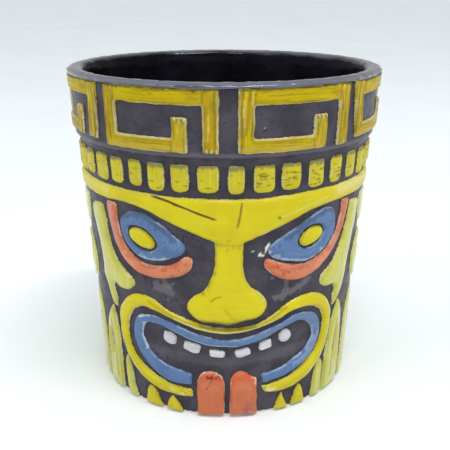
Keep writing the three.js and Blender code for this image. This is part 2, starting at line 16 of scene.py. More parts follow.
import bpy
import numpy as np
from mathutils.geometry import delaunay_2d_cdt
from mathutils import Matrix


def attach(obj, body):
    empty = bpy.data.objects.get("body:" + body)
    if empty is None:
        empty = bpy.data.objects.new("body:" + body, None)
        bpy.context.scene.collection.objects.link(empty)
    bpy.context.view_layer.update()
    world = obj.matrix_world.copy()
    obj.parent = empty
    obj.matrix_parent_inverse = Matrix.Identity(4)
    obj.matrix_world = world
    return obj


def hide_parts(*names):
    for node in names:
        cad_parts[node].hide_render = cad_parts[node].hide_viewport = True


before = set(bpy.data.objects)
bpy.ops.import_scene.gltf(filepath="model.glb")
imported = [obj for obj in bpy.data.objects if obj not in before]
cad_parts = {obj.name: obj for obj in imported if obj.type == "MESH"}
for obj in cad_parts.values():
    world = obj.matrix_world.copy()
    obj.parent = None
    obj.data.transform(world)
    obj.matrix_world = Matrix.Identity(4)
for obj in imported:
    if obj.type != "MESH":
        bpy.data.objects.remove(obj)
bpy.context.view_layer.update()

LOG = logging.getLogger("tiki_mug")

MM = 0.001
ARC = 0.85  # millimetres of unrolled sheet to a degree
CORNER = 1  # third value of an outline point where the outline turns sharply

Triple = tuple[float, float, float]
Colour = Triple
Point = tuple[float, ...]
Array = np.ndarray
Mesh = dict[str, Array]
Rings = tuple[Array, Array]
Piece = bpy.types.Object
Socket = bpy.types.NodeSocket
Height = Callable[[Array, Array], Array]


def srgb(red: int, green: int, blue: int) -> Colour:
    """Linear colour of an everyday 0 to 255 one."""
    scaled = (value / 255 for value in (red, green, blue))
    return tuple(v / 12.92 if v <= 0.04045 else ((v + 0.055) / 1.055) ** 2.4 for v in scaled)


def ease(value: Array, low: float, high: float) -> Array:
    """Smooth step of value from 0 at low to 1 at high."""
    t = np.clip((np.asarray(value, float) - low) / (high - low), 0.0, 1.0)
    return t * t * (3 - 2 * t)


# ---- colours on the maker's bench

CLAY = srgb(222, 216, 200)
STAIN = srgb(56, 52, 60)
STAIN_THIN = srgb(72, 68, 77)
STAIN_DARK = srgb(30, 27, 34)
CREAM = srgb(214, 212, 176)
OLIVE = srgb(120, 112, 34)
BROWN = srgb(92, 70, 26)
# pale grey, laid on the ground as thin stain and as painted reflections
SMEAR_AND_SHEEN = srgb(122, 120, 126)
WHITE_CHIP = srgb(226, 224, 214)
BURNT = srgb(40, 24, 16)
DEEP_YELLOW = srgb(190, 168, 4)


# ---- the turned wall


@dataclass(frozen=True)
class Wall:
    """Radii of the turned cup, in millimetres, at any height."""

    height: float = 110.7
    rim_radius: float = 53.0
    collar_radius: float = 52.1
    collar_z: float = 89.4
    wall_top_radius: float = 50.7
    foot_radius: float = 45.0
    relief: float = 1.3
    mouth_radius: float = 47.2
    well_radius: float = 38.6
    floor_z: float = 7.0
    step_low: float = 87.9
    step_high: float = 89.6

    def crest(self, z: Array) -> Array:
        """Radius that the relief on the wall reaches at height z."""
        return self.foot_radius + (self.wall_top_radius - self.foot_radius) * z / self.collar_z

    def collar(self, z: Array) -> Array:
        """Radius that the relief on the collar reaches at height z."""
        rise = (z - self.collar_z) / (self.height - self.collar_z)
        return self.collar_radius + (self.rim_radius - self.collar_radius) * rise

    def ground(self, z: Array) -> Array:
        """Radius of the stained ground, with the rounded step under the collar."""
        share = ease(z, self.step_low, self.step_high)
        return self.crest(z) * (1 - share) + self.collar(z) * share - self.relief

    def inside(self, z: Array) -> Array:
        """Radius of the glazed inside at height z."""
        rise = (z - self.floor_z) / (self.height - self.floor_z)
        return self.well_radius + (self.mouth_radius - self.well_radius) * rise


class Waves:
    """Smooth, repeatable unevenness that closes on itself round the cup."""

    def __init__(self, seed: int, length: float, depth: float, count: int = 26) -> None:
        """Draws the waves.

        Args:
            seed: Seed of the draw.
            length: Typical wavelength in millimetres.
            depth: Typical depth in millimetres.
            count: Number of waves that are added up.
        """
        draw = np.random.default_rng(seed)
        lengths = length * draw.uniform(0.6, 1.7, count)
        turn = draw.uniform(0, 2 * math.pi, count)
        self.round = np.round(2 * math.pi * 48.0 / lengths * np.cos(turn))
        self.upright = 2 * math.pi / lengths * np.sin(turn)
        self.phase = draw.uniform(0, 2 * math.pi, count)
        self.depth = depth * math.sqrt(2.0 / count)

    def at(self, degrees: Array, z: Array) -> Array:
        """Height of the waves.

        Args:
            degrees: Degrees round the cup.
            z: Heights in millimetres.

        Returns:
            Offsets in millimetres.
        """
        angle = np.radians(np.asarray(degrees, float))
        total = np.zeros(np.broadcast(angle, z).shape)
        for k, m, phase in zip(self.round, self.upright, self.phase):
            total += np.sin(k * angle + m * z + phase)
        return total * self.depth


WALL = Wall()
HAND_THROWN = Waves(seed=11, length=22.0, depth=0.054)
TOOL_MARKS = Waves(seed=12, length=4.5, depth=0.016)
GROUND_DROP = 0.12  # the ground lies this much under its turned radius
SIDE_FILL = 0.62  # the grooves are shallower round the sides and the back than on the face
BEAD_FILL = 0.35  # and shallower between the beads


def uneven_ground(degrees: Array, z: Array) -> Array:
    """Radius of the stained ground with the unevenness of hand work."""
    waves = HAND_THROWN.at(degrees, z) + TOOL_MARKS.at(degrees, z)
    return WALL.ground(z) - GROUND_DROP + fill(degrees, z) + waves


def fill(degrees: Array, z: Array) -> Array:
    """How much higher the ground stands where the relief is shallower."""
    away = np.abs((np.asarray(degrees, float) + 180) % 360 - 180)
    return SIDE_FILL * ease(away, 52, 68) * ease(z, 77.5, 74) + BEAD_FILL * ease(z, 76, 79)


def wrapped(degrees: Array, z: Array, radius: Array) -> Array:
    """Places on the cup, in metres."""
    angle = np.radians(degrees)
    return np.column_stack((radius * np.sin(angle), -radius * np.cos(angle), z)) * MM


# ---- outlines on the sheet


def smooth_run(points: Array, closed: bool, step: float) -> Array:
    """Evenly spaced points on a smooth curve through the given ones.

    Args:
        points: Rows of sheet positions in millimetres.
        closed: Whether the curve closes on itself.
        step: Spacing in millimetres.

    Returns:
        Rows of sheet positions, without the last one.
    """
    dense = points
    if len(points) > 2:
        if closed:
            padded = np.vstack((points[-1], points, points[0], points[1]))
        else:
            padded = np.vstack((2 * points[0] - points[1], points, 2 * points[-1] - points[-2]))
        share = np.linspace(0, 1, 16, endpoint=False)[:, None]
        runs = []
        for p0, p1, p2, p3 in zip(padded, padded[1:], padded[2:], padded[3:]):
            gaps = [max(math.dist(a, b) ** 0.5, 1e-3) for a, b in ((p0, p1), (p1, p2), (p2, p3))]
            into = (p1 - p0) / gaps[0] - (p2 - p0) / (gaps[0] + gaps[1]) + (p2 - p1) / gaps[1]
            out = (p2 - p1) / gaps[1] - (p3 - p1) / (gaps[1] + gaps[2]) + (p3 - p2) / gaps[2]
            into, out = into * gaps[1], out * gaps[1]
            bend = -3 * p1 + 3 * p2 - 2 * into - out
            twist = 2 * p1 - 2 * p2 + into + out
            runs.append(p1 + into * share + bend * share**2 + twist * share**3)
        dense = np.vstack(runs + [points[:1] if closed else points[-1:]])
    lengths = np.concatenate(([0.0], np.cumsum(np.hypot(*np.diff(dense, axis=0).T))))
    count = max(3, int(math.ceil(lengths[-1] / step)))
    wanted = np.linspace(0, lengths[-1], count + 1)[:-1]
    return np.column_stack([np.interp(wanted, lengths, dense[:, axis]) for axis in (0, 1)])


def outline(points: Sequence[Point], step: float = 0.4, soften: int = 3) -> Array:
    """A closed outline on the sheet, anticlockwise.

    Args:
        points: (degrees, height) points, smooth but for those marked CORNER.
        step: Spacing of the outline's points in millimetres.
        soften: How many times the outline is rubbed smooth, which rounds its corners.

    Returns:
        Rows of sheet positions in millimetres.
    """
    flat = np.array([(p[0] * ARC, p[1]) for p in points], float)
    corners = [i for i, p in enumerate(points) if len(p) > 2 and p[2] == CORNER]
    if corners:
        runs = []
        for here, there in zip(corners, corners[1:] + [corners[0] + len(points)]):
            stretch = flat[[i % len(points) for i in range(here, there + 1)]]
            runs.append(smooth_run(stretch, False, step))
        loop = np.vstack(runs)
    else:
        loop = smooth_run(flat, True, step)
    for _ in range(soften):
        loop = 0.5 * loop + 0.25 * np.roll(loop, 1, 0) + 0.25 * np.roll(loop, -1, 0)
    x, z = loop[:, 0], loop[:, 1]
    area = np.sum(x * np.roll(z, -1) - np.roll(x, -1) * z)
    return loop if area > 0 else loop[::-1]


def oval(degrees: float, z: float, long: float, short: float, tilt: float = 0.0) -> list[Point]:
    """Points of an oval.

    Args:
        degrees: Centre, in degrees round the cup.
        z: Centre height.
        long: Longer half width in millimetres.
        short: Shorter half width in millimetres.
        tilt: Tilt in degrees.

    Returns:
        Eight (degrees, height) points.
    """
    turn = math.radians(tilt)
    points = []
    for i in range(8):
        a, b = long * math.cos(i * math.pi / 4), short * math.sin(i * math.pi / 4)
        across = a * math.cos(turn) - b * math.sin(turn)
        points.append((degrees + across / ARC, z + a * math.sin(turn) + b * math.cos(turn)))
    return points


def flipped(points: Iterable[Point]) -> list[Point]:
    """The same points on the other side of the face."""
    return [(-p[0], *p[1:]) for p in points]


def sheet_line(points: Sequence[Point]) -> Array:
    """A line of (degrees, height) points in millimetres on the sheet."""
    return np.array(points, float)[:, :2] * (ARC, 1.0)


def staggered_grid(low: Array, high: Array, pitch: float) -> Array:
    """A grid of points with every other row moved by half a pitch.

    Args:
        low: Its lower left corner on the sheet.
        high: Its upper right corner.
        pitch: Spacing in millimetres.

    Returns:
        Rows of sheet positions.
    """
    rows = []
    for i, z in enumerate(np.arange(low[1], high[1], pitch * 0.866)):
        across = np.arange(low[0] + (i % 2) * pitch / 2, high[0], pitch)
        rows.append(np.column_stack((across, np.full(len(across), z))))
    return np.vstack(rows)


def distance_to_line(points: Array, line: Array, closed: bool = False) -> Array:
    """Distance from each point to a line of segments.

    Args:
        points: Rows of sheet positions.
        line: Rows of sheet positions along the line.
        closed: Whether the line's end joins its start.

    Returns:
        Distances in millimetres.
    """
    ends = np.roll(line, -1, 0) if closed else line[1:]
    starts = line if closed else line[:-1]
    if len(starts) == 0:
        return np.hypot(*(points - line[0]).T)
    along = ends - starts
    square = np.maximum((along**2).sum(1), 1e-9)
    best = np.empty(len(points))
    for first in range(0, len(points), 1500):
        some = points[first : first + 1500, None, :] - starts[None]
        share = np.clip((some * along).sum(2) / square, 0, 1)
        away = some - share[..., None] * along
        best[first : first + 1500] = np.sqrt((away**2).sum(2).min(1))
    return best


def within(points: Array, loop: Array) -> Array:
    """Which points lie inside a closed loop.

    Args:
        points: Rows of sheet positions.
        loop: Rows of sheet positions round the loop.

    Returns:
        True or False for each point.
    """
    x, z = points[:, :1], points[:, 1:]
    x1, z1 = loop[:, 0], loop[:, 1]
    x2, z2 = np.roll(x1, -1), np.roll(z1, -1)
    rise = np.where(z2 == z1, 1e-12, z2 - z1)
    inside = np.zeros(len(points), bool)
    for first in range(0, len(points), 1500):
        part = slice(first, first + 1500)
        spans = (z1 > z[part]) != (z2 > z[part])
        hits = spans & (x[part] < (x2 - x1) * (z[part] - z1) / rise + x1)
        inside[part] = hits.sum(1) % 2 == 1
    return inside


def depth_inside(points: Array, loops: Sequence[Array]) -> Array:
    """How far each point lies inside a field, negative outside it or in its slits.

    Args:
        points: Rows of sheet positions.
        loops: The outline, then any slits.

    Returns:
        Distances to the nearest edge in millimetres.
    """
    best = np.min([distance_to_line(points, loop, closed=True) for loop in loops], axis=0)
    inside = within(points, loops[0])
    for slit in loops[1:]:
        inside &= ~within(points, slit)
    return np.where(inside, best, -best)


def offset_loop(loop: Array, loops: Sequence[Array], depth: float) -> Array:
    """The line at a fixed depth inside a field along one of its edges.

    Args:
        loop: The edge.
        loops: All edges of the field.
        depth: Depth in millimetres, negative for outside.

    Returns:
        Rows of sheet positions.
    """
    along = np.roll(loop, -1, 0) - np.roll(loop, 1, 0)
    length = np.maximum(np.hypot(*along.T), 1e-9)[:, None]
    inward = np.column_stack((-along[:, 1], along[:, 0])) / length
    if loop is not loops[0]:
        inward = -inward
    moved = loop + inward * depth
    found = depth_inside(moved, loops)
    return moved[np.abs(found - depth) < 0.06]


# ---- how a field is worked


class Lay(Enum):
    """The way that the brush went over a field."""

    UPRIGHT = "up and down"
    LEVEL = "round the cup"
    ROUND_MOUTH = "round the mouth"
    ROUND_LEFT_EYE = "round the left eye"
    ROUND_RIGHT_EYE = "round the right eye"
    KEY = "along the bars of a key"


CENTRES = {
    Lay.ROUND_MOUTH: (0.3, 22.0),
    Lay.ROUND_LEFT_EYE: (-30.0, 66.0),
    Lay.ROUND_RIGHT_EYE: (33.0, 66.0),
}


@dataclass(frozen=True)
class Touch:
    """A line or dab of another colour on a finished field."""

    line: tuple[Point, ...]
    colour: Colour
    reach: float
    strength: float = 0.8
    ragged: float = 0.5
    hard: float = 0.45


@dataclass(frozen=True)
class Crease:
    """A groove cut into a field, with stain caught in it."""

    line: tuple[Point, ...]
    depth: float = 0.3
    half: float = 0.24
    colour: Colour = BURNT
    strength: float = 0.9


@dataclass(frozen=True)
class Edge:
    """The rounded edge of a raised field."""

    width: float = 0.95
    skirt: float = 0.42
    toe: float = 0.24
    crown: float = 0.12
    crown_width: float = 3.0
    fullness: float = 2.3

    def height(self, depth: Array, relief: float) -> Array:
        """Height over the ground at some depth inside the edge.

        Args:
            depth: Distances inside the edge in millimetres.
            relief: Height of the field in millimetres.

        Returns:
            Heights in millimetres.
        """
        out = np.clip((depth + self.skirt) / self.skirt, 0, 1)
        toe = -0.14 + (0.14 + self.toe * relief) * out**2
        share = np.clip(depth / self.width, 0, 1)
        side = relief * (self.toe + (1 - self.toe) * (1 - (1 - share) ** self.fullness))
        swell = self.crown * (1 - np.exp(-((np.clip(depth, 0, None) / self.crown_width) ** 2)))
        return np.where(depth < 0, toe, side + swell)


@dataclass
class RaisedField:
    """One raised field of the relief: its outline, edge, brush lay and touches of paint."""

    node: str
    points: Sequence[Point]
    finish: "Enamel"
    lay: Lay = Lay.UPRIGHT
    slits: Sequence[Sequence[Point]] = ()
    edge: Edge = Edge()
    relief: float = WALL.relief
    lift: Height | None = None
    touches: Sequence[Touch] = ()
    creases: Sequence[Crease] = ()
    dry: Height | float = 0.0
    key_start: float = 0.0
    grid: float = 0.62

    def loops(self) -> list[Array]:
        """The outline and slits as closed loops on the sheet."""
        made = [outline(self.points), *(outline(slit, step=0.3, soften=1) for slit in self.slits)]
        return [self.hand_cut(loop) for loop in made]

    def hand_cut(self, loop: Array) -> Array:
        """The loop with the small wobble of a cut made by hand."""
        degrees, z = loop[:, 0] / ARC, loop[:, 1]
        return loop + np.column_stack((EDGE_WOBBLE.at(degrees, z), EDGE_WOBBLE.at(degrees + 40, z + 13)))

    def sheet_points(self, loops: Sequence[Array]) -> tuple[Array, list[Array]]:
        """Points of the field's front and the loops that bound it.

        Args:
            loops: Outline and slits.

        Returns:
            All points, boundary points first, and the bounding loops.
        """
        bounds = [offset_loop(loop, loops, -self.edge.skirt) for loop in loops]
        bounds = [bound for bound in bounds if len(bound) >= 6]
        rings = [offset_loop(loop, loops, depth) for loop in loops for depth in self.ring_depths()]
        grid = staggered_grid(loops[0].min(0) - 0.5, loops[0].max(0) + 0.5, self.grid)
        grid = grid[depth_inside(grid, loops) > self.ring_depths()[-1] + self.grid * 0.55]
        cuts = []
        for crease in self.creases:
            path = smooth_run(sheet_line(crease.line), False, 0.3)
            grid = grid[distance_to_line(grid, path) > crease.half * 2.6]
            along = np.gradient(path, axis=0)
            across = np.column_stack((-along[:, 1], along[:, 0]))
            across /= np.maximum(np.hypot(*across.T), 1e-9)[:, None]
            cuts += [path + across * crease.half * k for k in (-2.1, -1.0, -0.45, 0, 0.45, 1.0, 2.1)]
        extra = np.vstack(rings + cuts + [grid])
        if cuts:
            extra = extra[depth_inside(extra, loops) > -self.edge.skirt * 0.7]
        return np.vstack(bounds + [extra]), bounds

    def ring_depths(self) -> tuple[float, ...]:
        """Depths at which the front has a line of points along its edge."""
        width = self.edge.width
        return (-self.edge.skirt * 0.45, 0.0, width * 0.22, width * 0.5, width * 0.95)

    def heights(self, flat: Array, depth: Array) -> Array:
        """Height of the front over the ground.

        Args:
            flat: Rows of sheet positions.
            depth: How far inside the field each lies.

        Returns:
            Heights in millimetres.
        """
        degrees, z = flat[:, 0] / ARC, flat[:, 1]
        height = self.edge.height(depth, self.relief)
        height = np.where(height > 0, height * (1 - fill(degrees, z) / WALL.relief), height)
        if self.lift is not None:
            height = height + self.lift(degrees, z) * ease(depth, -0.1, 2.4)
        height = height + SURFACE_WOBBLE.at(degrees, z) * ease(depth, 0.0, 1.5)
        for crease in self.creases:
            away = distance_to_line(flat, sheet_line(crease.line))
            height = height - crease.depth * np.exp(-((away / crease.half) ** 2))
        return height

    def strokes(self, flat: Array) -> Array:
        """Brush coordinates: along the stroke, across it, and a number of the field's own.

        Args:
            flat: Rows of sheet positions.

        Returns:
            Rows of three values in millimetres.
        """
        x, z = flat[:, 0], flat[:, 1]
        own = float(sum(ord(letter) * (i + 3) for i, letter in enumerate(self.node)) % 97)
        if self.lay in CENTRES:
            degrees, height = CENTRES[self.lay]
            dx, dz = x - degrees * ARC, z - height
            reach = np.hypot(dx * 0.75, dz)
            along, across = np.arctan2(dz, dx * 0.75) * 22.0, reach
        elif self.lay is Lay.KEY:
            upright = KEY_BARS.upright(x / ARC - self.key_start, z)
            along, across = np.where(upright, z, x), np.where(upright, x, z)
            own = own + np.where(upright, 31.0, 0.0)
        elif self.lay is Lay.LEVEL:
            along, across = x, z
        else:
            along, across = z, x
        return np.column_stack((along, across, np.broadcast_to(own, along.shape)))

    def painted(self, flat: Array) -> Array:
        """Touches of paint laid over each other.

        Args:
            flat: Rows of sheet positions.

        Returns:
            Rows of red, green, blue and strength.
        """
        colours = np.zeros((len(flat), 4))
        marks = list(self.touches)
        marks += [Touch(c.line, c.colour, c.half * 1.7, c.strength, 0.2) for c in self.creases]
        return lay_touches(flat, colours, marks)

    def build(self) -> Piece:
        """Builds the field's piece and puts it in place of its CAD node.

        Returns:
            The finished object.
        """
        piece = fields_object(f"painted_{self.node}", [self], self.finish)
        settle(piece, self.finish.slot or self.finish.name, self.node)
        return piece


EDGE_WOBBLE = Waves(seed=21, length=5.0, depth=0.055)
SURFACE_WOBBLE = Waves(seed=22, length=7.0, depth=0.035)
RAGGED = Waves(seed=23, length=2.4, depth=0.5, count=40)


def lay_touches(flat: Array, colours: Array, marks: Iterable[Touch]) -> Array:
    """Lays touches of paint over what is there.

    Args:
        flat: Rows of sheet positions.
        colours: Rows of red, green, blue and strength so far.
        marks: The touches, in order.

    Returns:
        The new rows.
    """
    for mark in marks:
        line = sheet_line(mark.line)
        margin = 3 * mark.reach
        near = np.all((flat > line.min(0) - margin) & (flat < line.max(0) + margin), axis=1)
        if not near.any():
            continue
        some = flat[near]
        away = distance_to_line(some, line)
        away = away * (1 + mark.ragged * RAGGED.at(some[:, 0] / ARC, some[:, 1]))
        alpha = mark.strength * (1 - ease(away, mark.reach * mark.hard, mark.reach))
        before = colours[near]
        total = alpha + before[:, 3] * (1 - alpha)
        kept = before[:, :3] * (before[:, 3] * (1 - alpha))[:, None]
        mixed = (np.array(mark.colour) * alpha[:, None] + kept) / np.maximum(total, 1e-6)[:, None]
        colours[near] = np.column_stack((mixed, total))
    return colours


def triangles(points: Array, bounds: Sequence[Array]) -> tuple[Array, Array]:
    """Triangles that fill a bounded area of the sheet.

    Args:
        points: Rows of sheet positions, those of the bounds first.
        bounds: The outer loop, then the loops of any holes.

    Returns:
        The points as the triangulation keeps them, and rows of three point numbers.
    """
    edges, start = [], 0
    for bound in bounds:
        count = len(bound)
        edges += [(start + i, start + (i + 1) % count) for i in range(count)]
        start += count
    found = delaunay_2d_cdt([tuple(p) for p in points], edges, [], 0, 1e-5, False)
    kept = np.array([tuple(p) for p in found[0]], float)
    faces = np.array([tuple(f) for f in found[2] if len(f) == 3], int)
    middle = kept[faces].mean(1)
    inside = within(middle, bounds[0])
    for hole in bounds[1:]:
        inside &= ~within(middle, hole)
    faces = faces[inside]
    a, b, c = (kept[faces[:, k]] for k in range(3))
    turn = (b[:, 0] - a[:, 0]) * (c[:, 1] - a[:, 1]) - (b[:, 1] - a[:, 1]) * (c[:, 0] - a[:, 0])
    faces = faces[np.abs(turn) > 1e-7]
    turn = turn[np.abs(turn) > 1e-7]
    return kept, np.where((turn > 0)[:, None], faces, faces[:, ::-1])


def open_edges(faces: Array) -> list[tuple[int, int]]:
    """Edges that only one triangle has, in that triangle's direction.

    Args:
        faces: Rows of three point numbers.

    Returns:
        Pairs of point numbers.
    """
    sides = np.vstack((faces[:, [0, 1]], faces[:, [1, 2]], faces[:, [2, 0]]))
    known = {tuple(side) for side in sides.tolist()}
    return [side for side in known if (side[1], side[0]) not in known]


def closed_loops(edges: Sequence[tuple[int, int]]) -> list[list[int]]:
    """Strings directed edges together into loops.

    Args:
        edges: Directed edges as pairs of point numbers.

    Returns:
        Point numbers round each loop.
    """
    follow = {}
    for start, end in edges:
        follow.setdefault(start, []).append(end)
    loops = []
    while follow:
        first = next(iter(follow))
        loop, here = [], first
        while here in follow:
            loop.append(here)
            ends = follow[here]
            there = ends.pop()
            if not ends:
                del follow[here]
            here = there
        loops.append(loop)
    return loops


BACK_DEPTH = 0.9
BACK_GRID = 3.2
BACK_CLEAR = 1.2
HIDDEN_EDGE = -1.0


def rim_walls(rims: Sequence[list[int]], start: int) -> Array:
    """Triangles that join the front's rims to the back's.

    Args:
        rims: Point numbers round each rim of the front.
        start: Number of the back's first point; its rims lie in the same order.

    Returns:
        Rows of three point numbers.
    """
    sides = []
    for rim in rims:
        for i, here in enumerate(rim):
            after = (i + 1) % len(rim)
            sides += [(rim[after], here, start + i), (rim[after], start + i, start + after)]
        start += len(rim)
    return np.array(sides, int)


def field_mesh(work: RaisedField) -> Mesh:
    """The closed mesh of one raised field with the values its paint needs.

    Args:
        work: The field.

    Returns:
        Arrays named verts, faces, edge, stroke, touch and dry.
    """
    loops = work.loops()
    flat, faces = triangles(*work.sheet_points(loops))
    depth = depth_inside(flat, loops)
    degrees, z = flat[:, 0] / ARC, flat[:, 1]
    radius = uneven_ground(degrees, z) + work.heights(flat, depth)
    front = wrapped(degrees, z, np.minimum(radius, WALL.rim_radius - 0.02))
    rims = closed_loops(open_edges(faces))
    rims.sort(key=lambda rim: -np.ptp(flat[rim][:, 0]) * np.ptp(flat[rim][:, 1]))
    low, high = flat.min(0), flat.max(0)
    spans = [np.arange(low[axis], high[axis], BACK_GRID) for axis in (0, 1)]
    coarse = np.stack(np.meshgrid(*spans), -1).reshape(-1, 2)
    coarse = coarse[depth_inside(coarse, loops) > BACK_CLEAR]
    bounds = [flat[rim] for rim in rims]
    back_flat, back_faces = triangles(np.vstack((*bounds, coarse)), bounds)
    back_z = back_flat[:, 1]
    back = wrapped(back_flat[:, 0] / ARC, back_z, WALL.ground(back_z) - BACK_DEPTH)
    count, hidden = len(front), len(back)
    dry = work.dry(degrees, z) if callable(work.dry) else np.full(count, work.dry)
    return {
        "verts": np.vstack((front, back)),
        "faces": np.vstack((faces, back_faces[:, ::-1] + count, rim_walls(rims, count))),
        "edge": np.append(depth, np.full(hidden, HIDDEN_EDGE)),
        "stroke": np.vstack((work.strokes(flat), np.zeros((hidden, 3)))),
        "touch": np.vstack((work.painted(flat), np.zeros((hidden, 4)))),
        "dry": np.append(dry, np.zeros(hidden)),
    }


def mesh_object(name: str, parts: Sequence[Mesh], finish: "Finish") -> Piece:
    """One object from one or more meshes with their paint values.

    Args:
        name: Name of the object.
        parts: Meshes as field_mesh gives them.
        finish: What it is finished in.

    Returns:
        The new object, linked to the scene.
    """
    counts = np.cumsum([0] + [len(part["verts"]) for part in parts])
    verts = np.vstack([part["verts"] for part in parts])
    faces = [part["faces"] + count for part, count in zip(parts, counts)]
    mesh = bpy.data.meshes.new(name)
    mesh.from_pydata(verts.tolist(), [], [face for some in faces for face in some.tolist()])
    kinds = {"edge": ("FLOAT", "value"), "dry": ("FLOAT", "value"),
             "stroke": ("FLOAT_VECTOR", "vector"), "touch": ("FLOAT_COLOR", "color")}
    for key, (kind, slot) in kinds.items():
        layer = mesh.attributes.new(key, kind, "POINT")
        layer.data.foreach_set(slot, np.concatenate([p[key] for p in parts]).astype(np.float32).ravel())
    mesh.polygons.foreach_set("use_smooth", np.ones(len(mesh.polygons), bool))
    mesh.update()
    mesh.validate()
    piece = bpy.data.objects.new(name, mesh)
    bpy.context.scene.collection.objects.link(piece)
    mesh.materials.append(finish.material())
    return piece


def fields_object(name: str, fields: Sequence[RaisedField], finish: "Finish") -> Piece:
    """One object of one or more raised fields."""
    return mesh_object(name, [field_mesh(work) for work in fields], finish)


def settle(piece: Piece, slot: str, *nodes: str) -> None:
    """Rides a piece on the cup and hides the CAD nodes that it stands for.

    Args:
        piece: The piece.
        slot: The record's material slot; not used.
        *nodes: CAD nodes that it replaces.
    """
    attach(piece, "root")
    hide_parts(*nodes)
    LOG.info("%s: %d faces", piece.name, len(piece.data.polygons))


# ---- finishes


class Board:
    """A node board, on which values and colours are worked out."""

    def __init__(self, tree: bpy.types.NodeTree) -> None:
        """Starts on an emptied tree."""
        self.tree = tree
        self.tree.nodes.clear()

    def feed(self, socket: Socket, value: object) -> None:
        """Puts a value into a socket.

        Args:
            socket: The socket.
            value: A number, a vector, a colour or another node's output.
        """
        if isinstance(value, Socket):
            self.tree.links.new(value, socket)
        else:
            socket.default_value = (*value, 1.0) if socket.type == "RGBA" else value

    def node(self, kind: str, output: int | str, inputs: dict, **settings: str) -> Socket:
        """Adds a node.

        Args:
            kind: Its type.
            output: Which of its outputs is wanted.
            inputs: What its inputs are fed with.
            **settings: Its own settings.

        Returns:
            The output.
        """
        made = self.tree.nodes.new(f"ShaderNode{kind}")
        for name, value in settings.items():
            setattr(made, name, value)
        for name, value in inputs.items():
            self.feed(made.inputs[name], value)
        return made.outputs[output]

    def end(self, kind: str, surface: Socket) -> None:
        """Adds the output node and feeds it."""
        self.feed(self.tree.nodes.new(kind).inputs[0], surface)

    def attribute(self, name: str, output: str) -> Socket:
        """One value of an attribute of the mesh."""
        return self.node("Attribute", output, {}, attribute_name=name)

    def place(self) -> Socket:
        """The place on the object, in metres."""
        return self.node("TexCoord", "Object", {})

    def stretched(self, vector: Socket, scale: Triple) -> Socket:
        """A vector with each axis scaled."""
        return self.node("VectorMath", 0, {0: vector, 1: scale}, operation="MULTIPLY")

    def noise(self, vector: Socket, scale: float, detail: float = 3.0, rough: float = 0.55) -> Socket:
        """Cloudy noise centred on a half, with scale clouds to a unit and finer ones on top."""
        inputs = {"Vector": vector, "Scale": scale, "Detail": detail, "Roughness": rough}
        return self.node("TexNoise", "Fac", inputs)

    def step(self, value: object, low: float, high: float, start: float = 0.0, end: float = 1.0) -> Socket:
        """A smooth step of a value from start at low to end at high."""
        inputs = {"Value": value, "From Min": low, "From Max": high, "To Min": start, "To Max": end}
        return self.node("MapRange", "Result", inputs, interpolation_type="SMOOTHSTEP")

    def sum(self, kind: str, a: object, b: object) -> Socket:
        """One arithmetic operation on two values."""
        return self.node("Math", 0, {0: a, 1: b}, operation=kind)

    def mix(self, share: object, a: object, b: object) -> Socket:
        """A mix of two colours, with a share of the second one."""
        return self.node("Mix", 2, {"Factor": share, 6: a, 7: b}, data_type="RGBA")


class FinishBoard(Board):
    """The node board of one finish, with its shader."""

    def __init__(self, name: str) -> None:
        """Starts a material.

        Args:
            name: Its name.
        """
        self.made = bpy.data.materials.new(name)
        self.made.use_nodes = True
        super().__init__(self.made.node_tree)
        self.shader = self.tree.nodes.new("ShaderNodeBsdfPrincipled")
        self.end("ShaderNodeOutputMaterial", self.shader.outputs[0])

    def give(self, name: str, value: object) -> None:
        """Feeds one of the shader's inputs."""
        self.feed(self.shader.inputs[name], value)

    def bump(self, height: object, depth: float, strength: float = 1.0) -> None:
        """Fine relief on the shader, its depth in metres."""
        inputs = {"Strength": strength, "Distance": depth, "Height": height}
        self.give("Normal", self.node("Bump", 0, inputs))

    def clear_glaze(self, weight: object, roughness: float = 0.12) -> None:
        """A thin clear glaze over the finish."""
        self.give("Coat Weight", weight)
        self.give("Coat Roughness", roughness)

    def stain_colour(self) -> Socket:
        """Colour of the dark stain, thin here and thick there.

        Returns:
            The colour.
        """
        place = self.place()
        cloud = self.step(self.noise(place, 130.0, 4.0), 0.36, 0.68)
        speck = self.step(self.noise(place, 900.0, 2.0), 0.60, 0.72)
        return self.mix(self.sum("MULTIPLY", speck, 0.55), self.mix(cloud, STAIN, STAIN_THIN), STAIN_DARK)


class Finish:
    """Something that a piece is finished in. Each finish makes its material once."""

    made: dict[object, bpy.types.Material] = {}

    def material(self) -> bpy.types.Material:
        """The finish's material, made on first use.

        Returns:
            The material.
        """
        if self not in Finish.made:
            Finish.made[self] = self.mixed()
        return Finish.made[self]

    def mixed(self) -> bpy.types.Material:
        """Mixes the material."""
        raise NotImplementedError


